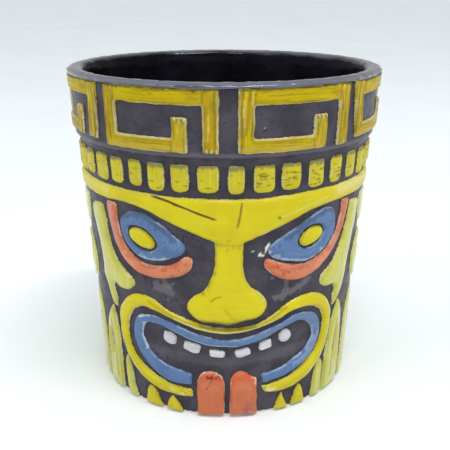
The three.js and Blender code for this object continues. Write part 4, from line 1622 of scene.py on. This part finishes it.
@dataclass
class Face(SubAssembly):
    """The mask: brow and nose, eyes and lids, cheeks, mouth, teeth and tongue."""

    nose_tip_z: float = 39.0
    nose_root_z: float = 66.0
    nose_lift: float = 1.6
    nose_half: float = 17.0
    brow_and_nose: tuple[Point, ...] = (
        (-94, 77, 1), (-30, 76.5, 1), (-4, 76.3, 1), (12, 76.2, 1), (34, 77, 1), (94, 77, 1), (94, 71.8, 1),
        (43, 71.8, 1), (33, 70.6), (23, 67.6), (6.8, 62.4, 1), (6.8, 57.5), (7.4, 51.8), (9.8, 47.5),
        (13.8, 45), (16.5, 41.4), (15.4, 38), (12, 36.2), (7.3, 35.5), (1.7, 34.5), (-4, 35.1),
        (-9.4, 35.5), (-13.2, 37.8), (-14.6, 40.3), (-12.4, 43.5), (-8.1, 46.1), (-5.2, 49.8),
        (-3.6, 54.5), (-3.2, 62.7, 1), (-20, 68.2), (-30, 71.3), (-42, 72.2), (-50, 71.8, 1), (-94, 71.8, 1))
    eye_left: tuple[Point, ...] = (
        (-42.6, 64), (-41.4, 67.6), (-37.2, 69.6), (-30, 69.7), (-24, 67.4), (-18, 63.7), (-14.5, 60.6),
        (-15.6, 58.2), (-20.7, 56), (-27, 54.5), (-34, 55), (-39.5, 57.9))
    eye_right: tuple[Point, ...] = (
        (16.4, 58.8), (17.6, 61.3), (23, 63.9), (29.5, 66.7), (35.5, 69.3), (40.5, 70.5), (45, 69.3),
        (46.6, 65), (46.2, 60.8), (42.6, 57.4), (37.5, 54.7), (32, 53.8), (24.5, 55), (18.6, 56.5))
    pupil_left: tuple[float, ...] = (-32.5, 61.4, 5.2, 2.9, -18)
    pupil_right: tuple[float, ...] = (34.4, 62, 4.7, 2.8, 17)
    pupil_groove: float = 0.8
    lid_left: tuple[Point, ...] = (
        (-50, 71.2, 1), (-49.2, 65), (-46.6, 57.6), (-41.5, 51.7), (-35, 49), (-27, 48.7), (-19.5, 49.8),
        (-13.5, 52.5), (-11.7, 56), (-13.6, 57.4), (-18, 55), (-24, 53.2), (-31, 52.9), (-37, 54.4),
        (-42, 58.4), (-44.2, 64.5), (-44.4, 71.2, 1))
    lid_right: tuple[Point, ...] = (
        (50.8, 71.2, 1), (50.6, 66.5), (48.8, 62), (46, 58.3), (41.7, 55.4), (36.5, 53.7), (31, 53.1),
        (25, 53.9), (19.5, 55.4), (16, 56.6), (14.7, 55), (17.3, 52), (22, 49.3), (29, 47.9), (36, 48.8),
        (43, 51.8), (48.2, 56), (52.3, 61.5), (54.5, 67.5), (55.2, 71.2, 1))
    cheek_left: tuple[Point, ...] = (
        (-62.8, 67.6), (-58.5, 68.8), (-54, 69, 1), (-52.8, 64), (-51.8, 58.5), (-49, 53), (-45, 49.4),
        (-40.5, 47), (-38.2, 45), (-39.8, 42.8), (-43.2, 41.3), (-47.2, 41.4), (-51, 42.4), (-52.2, 40.1),
        (-50.5, 37.2, 1), (-51.6, 32.9, 1), (-54.6, 35.6), (-57, 40.6), (-59, 43.6), (-58.8, 50),
        (-59.8, 56), (-61.6, 61))
    cheek_right: tuple[Point, ...] = (
        (57.4, 69.8, 1), (56.6, 65), (54.9, 59.5), (51.8, 54), (46.9, 49.3), (42.7, 47.3), (41.3, 45.5),
        (42.3, 43.6), (46, 41.9), (50.5, 41.6), (52, 39.8), (51.2, 37.6, 1), (51.9, 33, 1), (55, 36),
        (57.6, 39), (59.2, 42.5), (60.8, 49), (62.4, 56), (64.2, 62), (65.6, 68.6, 1))
    mouth_ring: tuple[Point, ...] = (
        (-13.2, 7, 1), (-22, 6.7), (-30, 7.5), (-38.5, 10.7), (-45, 15.3), (-48.8, 21.5), (-49.4, 27),
        (-48.2, 33.8), (-43.6, 38.4), (-37.5, 41.1), (-30.5, 41.2), (-22.4, 37.8), (-14.5, 35.5), (-6, 33.9),
        (3, 33.2), (12, 34), (18.5, 36.2), (25, 39.7), (31, 41.5), (39.2, 41.2), (46.1, 38), (49.9, 33),
        (50.6, 26.5), (48.8, 19.2), (44.2, 14.2), (38, 10.3), (31, 8.2), (24, 7.5), (17.5, 8.1, 1),
        (15.7, 10.7, 1), (23, 11.5), (29.5, 12.7), (36.5, 15.9), (42.7, 19.9), (45.6, 25.7), (44.8, 31.9),
        (40.6, 35.9), (33.8, 37.4), (27, 36.6), (19, 34), (10, 32), (0, 31.2), (-9.8, 32.2), (-21, 35.1),
        (-29.4, 37.2), (-34.8, 37.4), (-39.8, 35), (-43.1, 30.7), (-44.5, 24.5), (-42.5, 18.8),
        (-35.5, 14.2), (-25, 10.9), (-13.8, 9.6, 1))
    lip: tuple[Point, ...] = (
        (-14, 11.5, 1), (-24, 11.7), (-31, 14.3), (-37, 19), (-40.2, 24.5), (-39.9, 30), (-37.5, 33.2),
        (-31, 34.9), (-23, 34.1), (-10, 30.5), (0, 28.9), (9.6, 29.7), (21, 32.8), (28.8, 35.1), (34.8, 35.2),
        (41, 32.8), (43.7, 27), (41.8, 21.3), (36.5, 16.8), (27, 13.6), (16.5, 11.9, 1),
        (15.2, 15.3, 1), (21.5, 16), (29.2, 18.4), (35.8, 21.5), (39.4, 25.2), (37.8, 29.8), (31.9, 32.9),
        (25, 31.6), (13.5, 27.8), (3.8, 26.5), (-5, 26.8), (-13.6, 28.4), (-21.3, 31), (-29.4, 32.3),
        (-33.9, 31.6), (-35.5, 27), (-33.2, 22.3), (-27.8, 18.6), (-21.3, 16.9), (-13.4, 15.5, 1))
    teeth: tuple[tuple[Point, ...], ...] = (
        ((-25, 30.2), (-21.5, 30), (-19.5, 28.9), (-20.3, 25.9), (-23, 25.8), (-25.4, 27.2)),
        ((-16.1, 27.8), (-9.4, 26.7), (-10.2, 23.7), (-12.8, 23.6), (-16.9, 25.1)),
        ((-6.1, 25.3), (-2.8, 25.3), (0.3, 24.7), (0.3, 22.8), (-1.3, 22.4), (-5.9, 22.8)),
        ((4, 25.1), (9.4, 26), (10.4, 25.4), (10.9, 23.5), (7.1, 22.5), (4.8, 22.5)),
        ((14.4, 27.2), (19, 28.5), (19.3, 26.8), (19.7, 25.2), (14.7, 24.2), (14, 25.6)))
    round_tooth: tuple[float, ...] = (25.3, 28.4, 2.4, 2.2)
    tooth_drop: float = 0.3
    tongue_lift: float = 0.4
    tongue_left: tuple[Point, ...] = (
        (-11.6, 0.6, 1), (0, 0.6, 1), (-0.4, 14.4), (-2, 16.3), (-6.4, 17.2), (-9.4, 16.3), (-11, 13.8))
    tongue_right: tuple[Point, ...] = (
        (2.2, 0.6, 1), (14.3, 0.6, 1), (13.6, 14, 1), (11, 15.1), (8.6, 16.9), (5.6, 17.1), (3.4, 15.9),
        (2.7, 13.4))

    def nose(self, degrees: Array, z: Array) -> Array:
        """Extra height of the nose, which swells towards its tip and its two wings.

        Args:
            degrees: Degrees round the cup.
            z: Heights in millimetres.

        Returns:
            Heights in millimetres.
        """
        down = ease(self.nose_root_z - z, 0, self.nose_root_z - self.nose_tip_z)
        across = np.maximum(0, 1 - ((degrees - 1.2) / self.nose_half) ** 2)
        under = ease(z, 34.0, 38.0)
        facet = 0.22 * np.exp(-(((degrees - 4.5) / 3.2) ** 2) - ((z - 43.5) / 5.0) ** 2)
        return (self.nose_lift * down * across - facet) * (0.35 + 0.65 * under)

    def brow_piece(self) -> RaisedField:
        """Brow band over both eyes, dipping in a V to the nose.

        Returns:
            The raised field.
        """
        creases = [
            Crease(((-25, 76.1), (-20, 75.25), (-15, 73.8), (-10, 72.3), (-5, 70.9), (-3.3, 70.25)),
                   0.24, 0.24, srgb(84, 54, 16), 0.9),
            Crease(((-18, 74.3), (-13, 73.2), (-8, 71.9)), 0.12, 0.2, BROWN, 0.5),
            Crease(((6, 75.25), (5.6, 72.3), (4.6, 67.75)), 0.22, 0.24, BROWN, 0.62),
            Crease(((-4.6, 43.8), (-3.2, 44.9), (-1.7, 45.25)), 0.1, 0.2, OLIVE, 0.6),
            Crease(((19.6, 70.1), (19.7, 70.0)), 0.12, 0.3, BROWN, 0.8),
        ]
        upper_edge = ((-60, 76.5), (-30, 76.2), (-4, 75.95), (12, 75.85), (34, 76.7), (60, 76.6))
        touches = [
            Touch(((-3, 62.2), (6, 62.0)), OLIVE, 0.7, 0.4, 0.7),
            Touch(((-3.6, 60), (-4.4, 52), (-7.4, 47.2)), OLIVE, 0.7, 0.45, 0.8),
            # lighter on the nose's right wing: a painted highlight
            Touch(((12.5, 46), (14.2, 44.5), (16.2, 41.8)), srgb(176, 186, 116), 1.0, 0.6, 0.5),
            Touch(((13, 64.6), (18, 66.2), (23, 67.9)), CREAM, 0.55, 0.7, 0.8),
            # a pale line along the brow's top edge: a painted highlight
            Touch(upper_edge, srgb(212, 202, 116), 0.24, 0.5, 0.4),
            Touch(((-26, 76.2), (-20, 75.25), (-15, 73.8)), srgb(92, 62, 18), 0.5, 0.85, 0.2),
            # the ends of the brow paler: painted sheen where the band turns away to the sides
            Touch(((46, 75.3), (56, 75.6), (72, 75.6)), srgb(214, 204, 150), 2.6, 0.5, 0.1, 0.0),
            Touch(((-72, 75.6), (-58, 75.5), (-48, 75.2)), srgb(212, 204, 120), 2.4, 0.4, 0.1, 0.0),
            Touch(((20, 70.2), (30, 72.6), (40, 74.2)), srgb(214, 204, 110), 0.8, 0.3, 0.2, 0.0),
            Touch(((-3, 74.4), (4, 72.4), (3, 66.5)), DEEP_YELLOW, 2.8, 0.5, 0.2),
            Touch(((14, 74.2), (28, 74.6)), DEEP_YELLOW, 1.6, 0.4, 0.2),
            # lighter down the right side of the nose: a painted highlight
            Touch(((6.9, 57.5), (7.6, 52)), srgb(196, 196, 120), 0.6, 0.4, 0.8),
            # darker olive along the foot and tip of the nose: painted shade under the nose
            Touch(((-10, 36.2), (-3, 35.6), (4, 35.2), (11, 36.6)), srgb(120, 116, 20), 0.9, 0.55, 0.6),
            Touch(((0.5, 41), (2.5, 38), (5.5, 36.4)), srgb(150, 142, 16), 0.5, 0.4, 0.6),
        ]
        touches += [Touch(((way * 93, 72.2), (way * 60, 72.2)), OLIVE, 0.7, 0.3, 0.8) for _, way in SIDES]
        return RaisedField(
            "brow_and_nose", self.brow_and_nose, YELLOW, Lay.LEVEL, edge=BAND_EDGE,
            lift=self.nose, touches=touches, creases=creases, grid=0.6)

    def eye(self, side: str, way: int) -> list[RaisedField]:
        """An eye with a groove cut round its pupil, and the pupil.

        Args:
            side: left or right.
            way: -1 for left, 1 for right.

        Returns:
            The eye and the pupil.
        """
        left = side == "left"
        eye, pupil = (self.eye_left, self.pupil_left) if left else (self.eye_right, self.pupil_right)
        lay = Lay.ROUND_LEFT_EYE if left else Lay.ROUND_RIGHT_EYE
        degrees, z, long, short, tilt = pupil
        groove = oval(degrees, z, long + self.pupil_groove, short + self.pupil_groove, tilt)
        under_brow = tuple(sorted((p[0], p[1] - 0.6) for p in eye if p[1] > 63))
        lower_edge = tuple(sorted((p[0], p[1] + 0.55) for p in eye if p[1] < 57.5))
        touches = [
            # dark wash along the top of the eye, deepened as the painted shadow of the brow
            Touch(under_brow, srgb(50, 60, 84), 1.3, 0.5, 0.7),
            # pale line along the eye's lower edge: paint rubbed thin and a painted highlight
            Touch(lower_edge, srgb(178, 194, 212), 0.5, 0.6, 1.0),
            Touch(((way * 17.5, 58.6), (way * 21, 58.4)), srgb(66, 84, 116), 1.6, 0.4),
        ]
        if not left:
            touches.append(Touch(((16.5, 57.8), (16.9, 59.2)), WHITE_CHIP, 0.35, 0.85, 1.0))
        return [
            RaisedField(
                f"eye_{side}", eye, BLUE, lay, slits=(groove,),
                edge=Edge(width=1.0, crown=0.3, crown_width=3.4), touches=touches, grid=0.55),
            RaisedField(
                f"pupil_{side}", oval(*pupil), YELLOW, edge=Edge(width=1.2), grid=0.5),
        ]

    def lid(self, side: str, way: int) -> RaisedField:
        """A lower lid, pink where it runs up beside the eye and orange below it.

        Args:
            side: left or right.
            way: -1 for left, 1 for right.

        Returns:
            The raised field.
        """
        left = side == "left"
        beside = ((way * 48.5, 71), (way * 48, 64), (way * 45.8, 58.5))
        touches = [
            Touch(beside, srgb(190, 132, 120), 2.6, 0.75, 0.4),
            Touch(((way * 43, 54), (way * 38, 51.4)), srgb(214, 140, 112), 2.0, 0.5, 0.5),
            Touch(((way * 20, 53.2), (way * 24, 51.8)), srgb(176, 58, 34), 0.55, 0.6, 1.0),
            Touch(((way * 15.6, 55.4), (way * 19, 54.0)), srgb(186, 66, 40), 0.6, 0.6, 1.0),
            # darker along the lid's upper edge, under the eye: painted shade
            Touch(((way * 26, 52.4), (way * 33, 52.2)), srgb(150, 74, 54), 0.5, 0.45, 1.0),
        ]
        if not left:
            touches.append(Touch(((18.2, 55.9), (21.4, 55.0)), srgb(228, 208, 192), 0.4, 0.85, 0.4))
        return RaisedField(
            f"lower_lid_{side}", self.lid_left if left else self.lid_right, CORAL,
            Lay.ROUND_LEFT_EYE if left else Lay.ROUND_RIGHT_EYE,
            edge=Edge(width=1.3, crown=0.2), touches=touches, grid=0.55)

    def cheek(self, side: str, way: int) -> RaisedField:
        """A cheek leaf whose tip runs down as a stem to the ring round the mouth.

        Args:
            side: left or right.
            way: -1 for left, 1 for right.

        Returns:
            The raised field.
        """
        bright = Touch(((way * 44, 44), (way * 48, 47), (way * 54, 56)), srgb(196, 190, 56), 1.6, 0.4)
        points = self.cheek_left if side == "left" else self.cheek_right
        return pale_leaf(f"cheek_{side}", points, touches=[bright], grid=0.6)

    def ring(self) -> RaisedField:
        """The ring round the mouth, drier and paler towards its foot.

        Returns:
            The raised field.
        """
        foot_left = ((-47, 24), (-45, 17.5), (-38, 12.4), (-30, 9.6), (-20, 8.5))
        foot_right = ((47.5, 27), (46, 18.5), (40, 13), (31, 10), (22, 9.4))
        upper_edge = (
            (-31, 40.4), (-22.4, 37.0), (-14.5, 34.7), (-6, 33.1), (3, 32.5), (12, 33.3), (18.5, 35.5),
            (25, 38.9))
        inner_edge = (
            (-44.3, 26), (-43.1, 31.1), (-39.9, 35.2), (-34.8, 37.7), (-29.2, 37.5), (-20.8, 35.4),
            (-9.6, 32.6), (0, 31.6), (10, 32.4), (19, 34.4), (27, 36.9), (33.8, 37.7), (40.7, 36.1),
            (44.9, 32.1))
        outer_left = ((-43.6, 38), (-47.9, 33.6), (-48.7, 27), (-48.1, 21.6), (-44.4, 15.9), (-38.3, 11.5))
        outer_right = ((45.4, 37.5), (49.1, 32.8), (49.8, 26.5), (48, 19.5), (43.6, 14.9), (37.8, 11.1))
        touches = [Touch(line, srgb(172, 162, 44), 1.9, 0.55, 0.3, 0.1) for line in (foot_left, foot_right)]
        touches += [
            # darker olive along the ring's upper edge, strongest under the nose as its painted shadow
            Touch(upper_edge, srgb(124, 108, 22), 0.7, 0.5, 0.35, 0.1),
            Touch(((-9, 33.6), (2, 32.8), (12, 33.7)), srgb(112, 106, 18), 1.2, 0.6, 0.5),
            # pale line along the ring's inner edge: paint rubbed thin and a painted highlight
            Touch(inner_edge, srgb(212, 206, 148), 0.34, 0.7, 0.3),
        ]
        # pale lines along the ring's outer edges: paint rubbed thin and a painted highlight
        wear_and_highlight = srgb(212, 210, 168)
        touches += [Touch(line, wear_and_highlight, 0.7, 0.7, 0.2, 0.1) for line in (outer_left, outer_right)]
        touches += [
            Touch(((-22, 8.6), (-14.4, 7.8)), srgb(206, 206, 150), 0.5, 0.5, 1.0),
            Touch(((16.4, 9.2), (22, 9.6)), CREAM, 0.7, 0.7, 1.0),
        ]
        return RaisedField(
            "mouth_ring", self.mouth_ring, YELLOW, Lay.ROUND_MOUTH,
            edge=Edge(width=1.25, crown=0.15), touches=touches,
            dry=lambda degrees, z: 0.25 + 0.4 * ease(z, 14, 8), grid=0.55)

    def lip_piece(self) -> RaisedField:
        """The lip inside the ring, pale along its inner edge, where the paint is rubbed thin and a highlight
        is painted.

        Returns:
            The raised field.
        """
        right_side = ((14, 29.6), (24, 32.4), (33, 34), (40, 32), (42.2, 27), (40.4, 22.4), (34, 18))
        inner_edge = (
            (5, 26.8), (-5, 27.05), (-13.6, 28.7), (-21.3, 31.3), (-29.4, 32.6), (-34.2, 31.8),
            (-35.8, 27), (-33.6, 22.3))
        touches = [
            Touch(right_side, srgb(104, 118, 142), 1.7, 0.55, 0.4, 0.1),
            Touch(((30, 17), (38, 20.5), (41.6, 26)), srgb(132, 156, 188), 1.0, 0.4, 0.7),
            Touch(((-38, 21), (-34, 17.5), (-26, 14)), srgb(70, 96, 138), 1.4, 0.4, 0.7),
            # pale lines along the lip's edges, here and in the last two touches: paint rubbed thin and a
            # painted highlight
            Touch(inner_edge, srgb(190, 198, 214), 0.42, 0.8, 0.3),
            Touch(((38.6, 30), (39.8, 25.2), (36.2, 21.2)), srgb(146, 158, 180), 0.5, 0.6, 0.4),
            Touch(((-39.9, 31), (-37.6, 33.3), (-31, 34.9)), srgb(196, 202, 210), 0.3, 0.7, 0.5),
        ]
        return RaisedField(
            "lip", self.lip, BLUE, Lay.ROUND_MOUTH, edge=Edge(width=1.1, crown=0.15),
            touches=touches, grid=0.55)

    def tooth_row(self) -> list[RaisedField]:
        """Five cut teeth and a round one, lower than the lip.

        Returns:
            The raised fields.
        """
        shapes = [[(*p, CORNER) for p in tooth] for tooth in self.teeth]
        shapes.append(oval(*self.round_tooth))
        return [
            RaisedField(
                f"tooth_{i + 1}", shape, TOOTH_WHITE, Lay.LEVEL,
                edge=Edge(width=0.6, crown=0.0, skirt=0.35), relief=WALL.relief - self.tooth_drop,
                dry=0.42, grid=0.45)
            for i, shape in enumerate(shapes)
        ]

    def tongue(self, side: str) -> RaisedField:
        """One half of the tongue, red at its tip.

        Args:
            side: left or right.

        Returns:
            The raised field.
        """
        left = side == "left"
        middle = -5.8 if left else 8.2
        red = srgb(206, 72, 32)
        touches = [
            Touch(((middle - 4, 14.6), (middle, 15.8), (middle + 4, 14.6)), red, 0.95, 0.6, 0.35),
            Touch(((middle - 3, 12.4), (middle + 2, 11.6)), srgb(204, 120, 84), 1.6, 0.35, 0.6),
        ]
        if left:
            touches += [
                Touch(((-6.6, 15.4), (-4.4, 15.0), (-3.2, 15.5)), srgb(84, 30, 18), 0.6, 0.75, 1.0),
                Touch(((-4.8, 15.0), (-5.6, 13.4), (-7, 11.6)), srgb(104, 40, 24), 0.35, 0.6, 1.0),
            ]
        else:
            touches += [
                Touch(((8.2, 2.6), (10.6, 4.4)), srgb(124, 84, 92), 1.7, 0.5, 0.8),
                Touch(((13.4, 11.8), (13.3, 14.2)), CREAM, 0.5, 0.85, 0.8),
                Touch(((3.0, 14.2), (4.6, 12.6)), red, 0.8, 0.4, 1.0),
            ]
        touches.append(Touch(((middle - 5, 0.9), (middle + 5, 0.9)), srgb(196, 150, 124), 0.5, 0.5, 1.0))
        return RaisedField(
            f"tongue_{side}", self.tongue_left if left else self.tongue_right, TONGUE_RED,
            edge=Edge(width=1.1, crown=0.15), relief=WALL.relief + self.tongue_lift, touches=touches,
            grid=0.55)

    def fields(self) -> list[RaisedField]:
        """The face's raised fields.

        Returns:
            The raised fields.
        """
        fields = [self.brow_piece()]
        for side, way in SIDES:
            fields += self.eye(side, way)
        fields += [self.lid(side, way) for side, way in SIDES]
        fields += [self.cheek(side, way) for side, way in SIDES]
        fields += [self.ring(), self.lip_piece(), *self.tooth_row()]
        return fields + [self.tongue(side) for side, _ in SIDES]


BASE_Z = 0.6


@dataclass
class FootGarland(SubAssembly):
    """Spikes, leaves and reeds that stand on the foot beside the face."""

    spikes: tuple[tuple[Point, ...], ...] = (
        ((-36.8, BASE_Z, 1), (-35.4, 6.1), (-34, 7.8, 1), (-31, 6), (-29.4, 2.8), (-27.4, BASE_Z, 1)),
        ((-26, BASE_Z, 1), (-24.9, 4), (-22.8, 6.1, 1), (-20.4, 4.2), (-17.8, BASE_Z, 1)),
        ((21.8, BASE_Z, 1), (23.6, 4.4), (25.4, 7.1, 1), (26.4, 4.6), (29, BASE_Z, 1)),
        ((30.2, BASE_Z, 1), (32.6, 5.8), (34.2, 8.2, 1), (36, 6.4), (38.2, BASE_Z, 1)))
    leaf_left: tuple[Point, ...] = (
        (-55, 33, 1), (-53, 28), (-52, 22), (-52.2, 12), (-53, BASE_Z, 1), (-64.2, BASE_Z, 1),
        (-64.4, 12), (-62.6, 21.6), (-59.6, 28))
    leaf_left_slit: tuple[float, ...] = (-58.6, 18, 5.4, 0.8, 84)
    leaf_right: tuple[Point, ...] = (
        (56.4, 34.8, 1), (53.8, 29.6), (51.8, 23), (50.4, 14), (49.8, BASE_Z, 1), (64, BASE_Z, 1),
        (63.8, 12), (62.8, 20), (60.6, 28.5), (58.6, 32.4))
    leaf_right_slit: tuple[float, ...] = (57.5, 17.6, 6.8, 0.9, 92)
    reed_left: tuple[Point, ...] = (
        (-47.6, 16, 1), (-45.2, 12.4), (-44.4, 8), (-43.4, 4), (-41.8, BASE_Z, 1), (-48.2, BASE_Z, 1),
        (-48.9, 8), (-48.5, 13))
    reed_right: tuple[Point, ...] = (
        (46.6, 14.8, 1), (44, 11.6), (42.9, 8), (42.2, BASE_Z, 1), (48.4, BASE_Z, 1), (48.3, 8), (47.9, 12.8))

    leaf_veins: tuple[tuple[Point, ...], ...] = (
        ((61.2, 24.0), (61.8, 15.0), (61.4, 6.0)), ((56.2, 27.0), (55.2, 16.0), (54.9, 5.0)))

    def fields(self) -> list[RaisedField]:
        """Spikes, leaves and reeds.

        Returns:
            The raised fields.
        """
        sharp, soft = Edge(width=1.0, crown=0.1), Edge(width=1.2, crown=0.25)
        fields = [
            RaisedField(f"spike_{i + 1}", spike, BEAD_YELLOW, edge=sharp, grid=0.5)
            for i, spike in enumerate(self.spikes)
        ]
        for node, points, slit in (
            ("leaf_left", self.leaf_left, self.leaf_left_slit),
            ("leaf_right", self.leaf_right, self.leaf_right_slit),
            ("reed_left", self.reed_left, None),
            ("reed_right", self.reed_right, None),
        ):
            turn = flipped if node.endswith("left") else list
            cuts = [tuple(turn(cut)) for cut in self.leaf_veins if slit]
            fields.append(pale_leaf(
                node, points, slits=(oval(*slit),) if slit else (), edge=soft, dry=0.3,
                creases=[Crease(cut, 0.12, 0.16, srgb(84, 80, 34), 0.75) for cut in cuts]))
        return fields


def lock(centre: float, half: float, top: float) -> list[Point]:
    """Outline of a lock of hair: an upright leaf with a pointed tip."""
    return [
        (centre - half, BASE_Z, CORNER), (centre + half, BASE_Z, CORNER), (centre + half, top * 0.5),
        (centre + half * 0.82, top * 0.86), (centre, top, CORNER), (centre - half * 0.82, top * 0.86),
        (centre - half, top * 0.5)]


@dataclass
class Sides(SubAssembly):
    """Temples, ears and short locks, the same on both sides."""

    ear: tuple[float, ...] = (76.0, 46.5, 9.0, 8.0)
    ear_inside: tuple[float, float] = (0.55, 0.42)
    ear_groove: float = 0.7
    ear_lift: float = 0.3
    temple: tuple[Point, ...] = (
        (67.6, 70, 1), (68.4, 64), (71, 60), (77, 57.8), (84, 58), (88.4, 62), (89, 70, 1))
    short_locks: tuple[float, ...] = (72.4, 86.8)
    lock_half: float = 5.4
    lock_top: float = 34.0

    def one_side(self, side: str) -> list[RaisedField]:
        """The raised fields of one side.

        Args:
            side: left or right.

        Returns:
            Its raised fields.
        """
        turn = flipped if side == "left" else list
        degrees, z, long, short = self.ear
        inner = (long * self.ear_inside[0], short * self.ear_inside[1])
        groove = oval(degrees, z, *inner, 90)
        lobe = oval(degrees, z, inner[0] - self.ear_groove, inner[1] - self.ear_groove, 90)
        ear, high = turn(oval(degrees, z, long, short, 90)), WALL.relief + self.ear_lift
        made = [
            pale_leaf(f"temple_{side}", turn(self.temple), lay=Lay.LEVEL),
            pale_leaf(f"ear_{side}", ear, slits=(turn(groove),), relief=high),
            pale_leaf(f"ear_lobe_{side}", turn(lobe), relief=high),
        ]
        for i, centre in enumerate(self.short_locks):
            cut = ((centre, 4.0), (centre + 0.4, self.lock_top * 0.45), (centre, self.lock_top * 0.72))
            made.append(pale_leaf(
                f"short_lock_{side}_{i + 1}", turn(lock(centre, self.lock_half, self.lock_top)),
                creases=[Crease(tuple(turn(cut)), 0.35, 0.36, STAIN_DARK, 0.8)]))
        return made

    def fields(self) -> list[RaisedField]:
        """The raised fields of both sides."""
        return [work for side, _ in SIDES for work in self.one_side(side)]


@dataclass
class BackHair(SubAssembly):
    """Brow band, locks and reeds of hair round the back."""

    brow_from: float = 94.0
    brow_gap: float = 0.35
    brow_under: float = 71.8
    brow_top: float = 77.0
    hair_from: float = 91.0
    locks: int = 6
    lock_half: float = 7.0
    lock_top: float = 69.0
    reed_half: float = 2.8
    reed_top: float = 50.0
    grid: float = 0.7

    def veins(self, centre: float) -> list[Crease]:
        """Grooves of one lock: a deep one down the middle and a fine one on each side of it.

        Args:
            centre: Degrees round the cup.

        Returns:
            The grooves.
        """
        middle = ((centre, 5.0), (centre + 0.5, 30.0), (centre, 61.0))
        made = [Crease(middle, 0.45, 0.4, STAIN_DARK, 0.85)]
        for way, low in ((-1, 8.0), (1, 14.0)):
            line = ((centre + way * 3.4, low), (centre + way * 3.2, low + 32.0))
            made.append(Crease(line, 0.25, 0.3, OLIVE, 0.7))
        return made

    def fields(self) -> list[RaisedField]:
        """Brow band, locks and reeds.

        Returns:
            The raised fields.
        """
        near = self.brow_from + self.brow_gap
        band = [(end, z, CORNER) for end, z in (
            (near, self.brow_under), (360 - near, self.brow_under), (360 - near, self.brow_top),
            (near, self.brow_top))]
        fields = [RaisedField("brow_back", band, YELLOW, Lay.LEVEL, edge=BAND_EDGE)]
        pitch = (360 - 2 * self.hair_from) / self.locks
        for i in range(self.locks):
            centre = self.hair_from + pitch * (i + 0.5)
            fields.append(pale_leaf(
                f"back_lock_{i + 1}", lock(centre, self.lock_half, self.lock_top),
                creases=self.veins(centre), grid=self.grid))
        for i in range(1, self.locks):
            shape = lock(self.hair_from + pitch * i, self.reed_half, self.reed_top)
            fields.append(pale_leaf(f"back_reed_{i}", shape, grid=self.grid))
        return fields


@dataclass
class Studio:
    """Pale floor, soft light all round, three lamps and the camera."""

    floor_radius: float = 7.0
    camera_place: Triple = (0.0, -0.2548, 0.1373)
    camera_pitch: float = 71.46
    side_light: tuple[float, ...] = (0.3, 0.9, 0.42, 1.1)
    top_light: tuple[float, ...] = (0.45, 0.98, 0.0, 0.62)
    lens: float = 58.62
    sensor: float = 36.0
    shift: tuple[float, float] = (0.00156, 0.00222)
    aim_height: float = 0.06

    def floor(self) -> None:
        """Lays the floor."""
        bpy.ops.mesh.primitive_circle_add(vertices=96, radius=self.floor_radius, fill_type="NGON")
        floor = bpy.context.object
        floor.name = "studio_floor"
        board = FinishBoard("pale_paper")
        cloud = board.step(board.noise(board.place(), 6.0, 3.0), 0.3, 0.7)
        paper = board.mix(cloud, srgb(233, 238, 240), srgb(237, 241, 243))
        board.give("Base Color", paper)
        board.give("Roughness", 0.7)
        floor.data.materials.append(board.made)

    def sky(self) -> None:
        """Soft white surroundings, brighter to both sides and overhead."""
        world = bpy.data.worlds.new("soft_tent")
        bpy.context.scene.world = world
        world.use_nodes = True
        board = Board(world.node_tree)
        way = board.node("TexCoord", "Generated", {})
        sideways = board.sum("ABSOLUTE", board.node("SeparateXYZ", "X", {0: way}), 0.0)
        upwards = board.node("SeparateXYZ", "Z", {0: way})
        sides, top = board.step(sideways, *self.side_light), board.step(upwards, *self.top_light)
        inputs = {"Color": srgb(250, 253, 255), "Strength": board.sum("ADD", sides, top)}
        board.end("ShaderNodeOutputWorld", board.node("Background", 0, inputs))

    def lamp(self, name: str, place: Triple, size: tuple[float, float], power: float) -> None:
        """A soft lamp aimed at the cup.

        Args:
            name: Its name.
            place: Where it hangs, in metres.
            size: Its width and height in metres.
            power: Watts.
        """
        data = bpy.data.lights.new(name, "AREA")
        data.shape = "RECTANGLE"
        data.size, data.size_y = size
        data.energy = power
        lamp = bpy.data.objects.new(name, data)
        x, y, z = place
        aim = math.atan2(math.hypot(x, y), z - self.aim_height)
        lamp.location = place
        lamp.rotation_euler = (aim, 0.0, math.atan2(y, x) + math.pi / 2)
        bpy.context.scene.collection.objects.link(lamp)

    def camera(self) -> None:
        """Sets up the camera."""
        data = bpy.data.cameras.new("camera")
        data.lens = self.lens
        data.sensor_width = self.sensor
        data.shift_x, data.shift_y = self.shift
        camera = bpy.data.objects.new("camera", data)
        camera.location = self.camera_place
        camera.rotation_euler = (math.radians(self.camera_pitch), 0.0, 0.0)
        bpy.context.scene.collection.objects.link(camera)
        bpy.context.scene.camera = camera

    def build(self) -> None:
        """Builds the studio."""
        self.floor()
        self.sky()
        self.lamp("overhead_strip", (0.20, -0.44, 1.15), (0.80, 0.04), 6.2)
        self.lamp("window", (-0.7, -0.5, 0.8), (0.5, 0.5), 1.4)
        self.lamp("front_strip", (0.34, -0.92, 0.44), (1.4, 0.3), 1.8)
        self.camera()
        bpy.context.scene.view_settings.view_transform = "Standard"


def main() -> None:
    """Builds the studio and the mug, in order."""
    logging.basicConfig(level=logging.INFO, format="%(message)s")
    Studio().build()
    Cup().build()
    Collar().build()
    BeadRow().build()
    Face().build()
    FootGarland().build()
    Sides().build()
    BackHair().build()


if __name__ == "__main__":
    main()
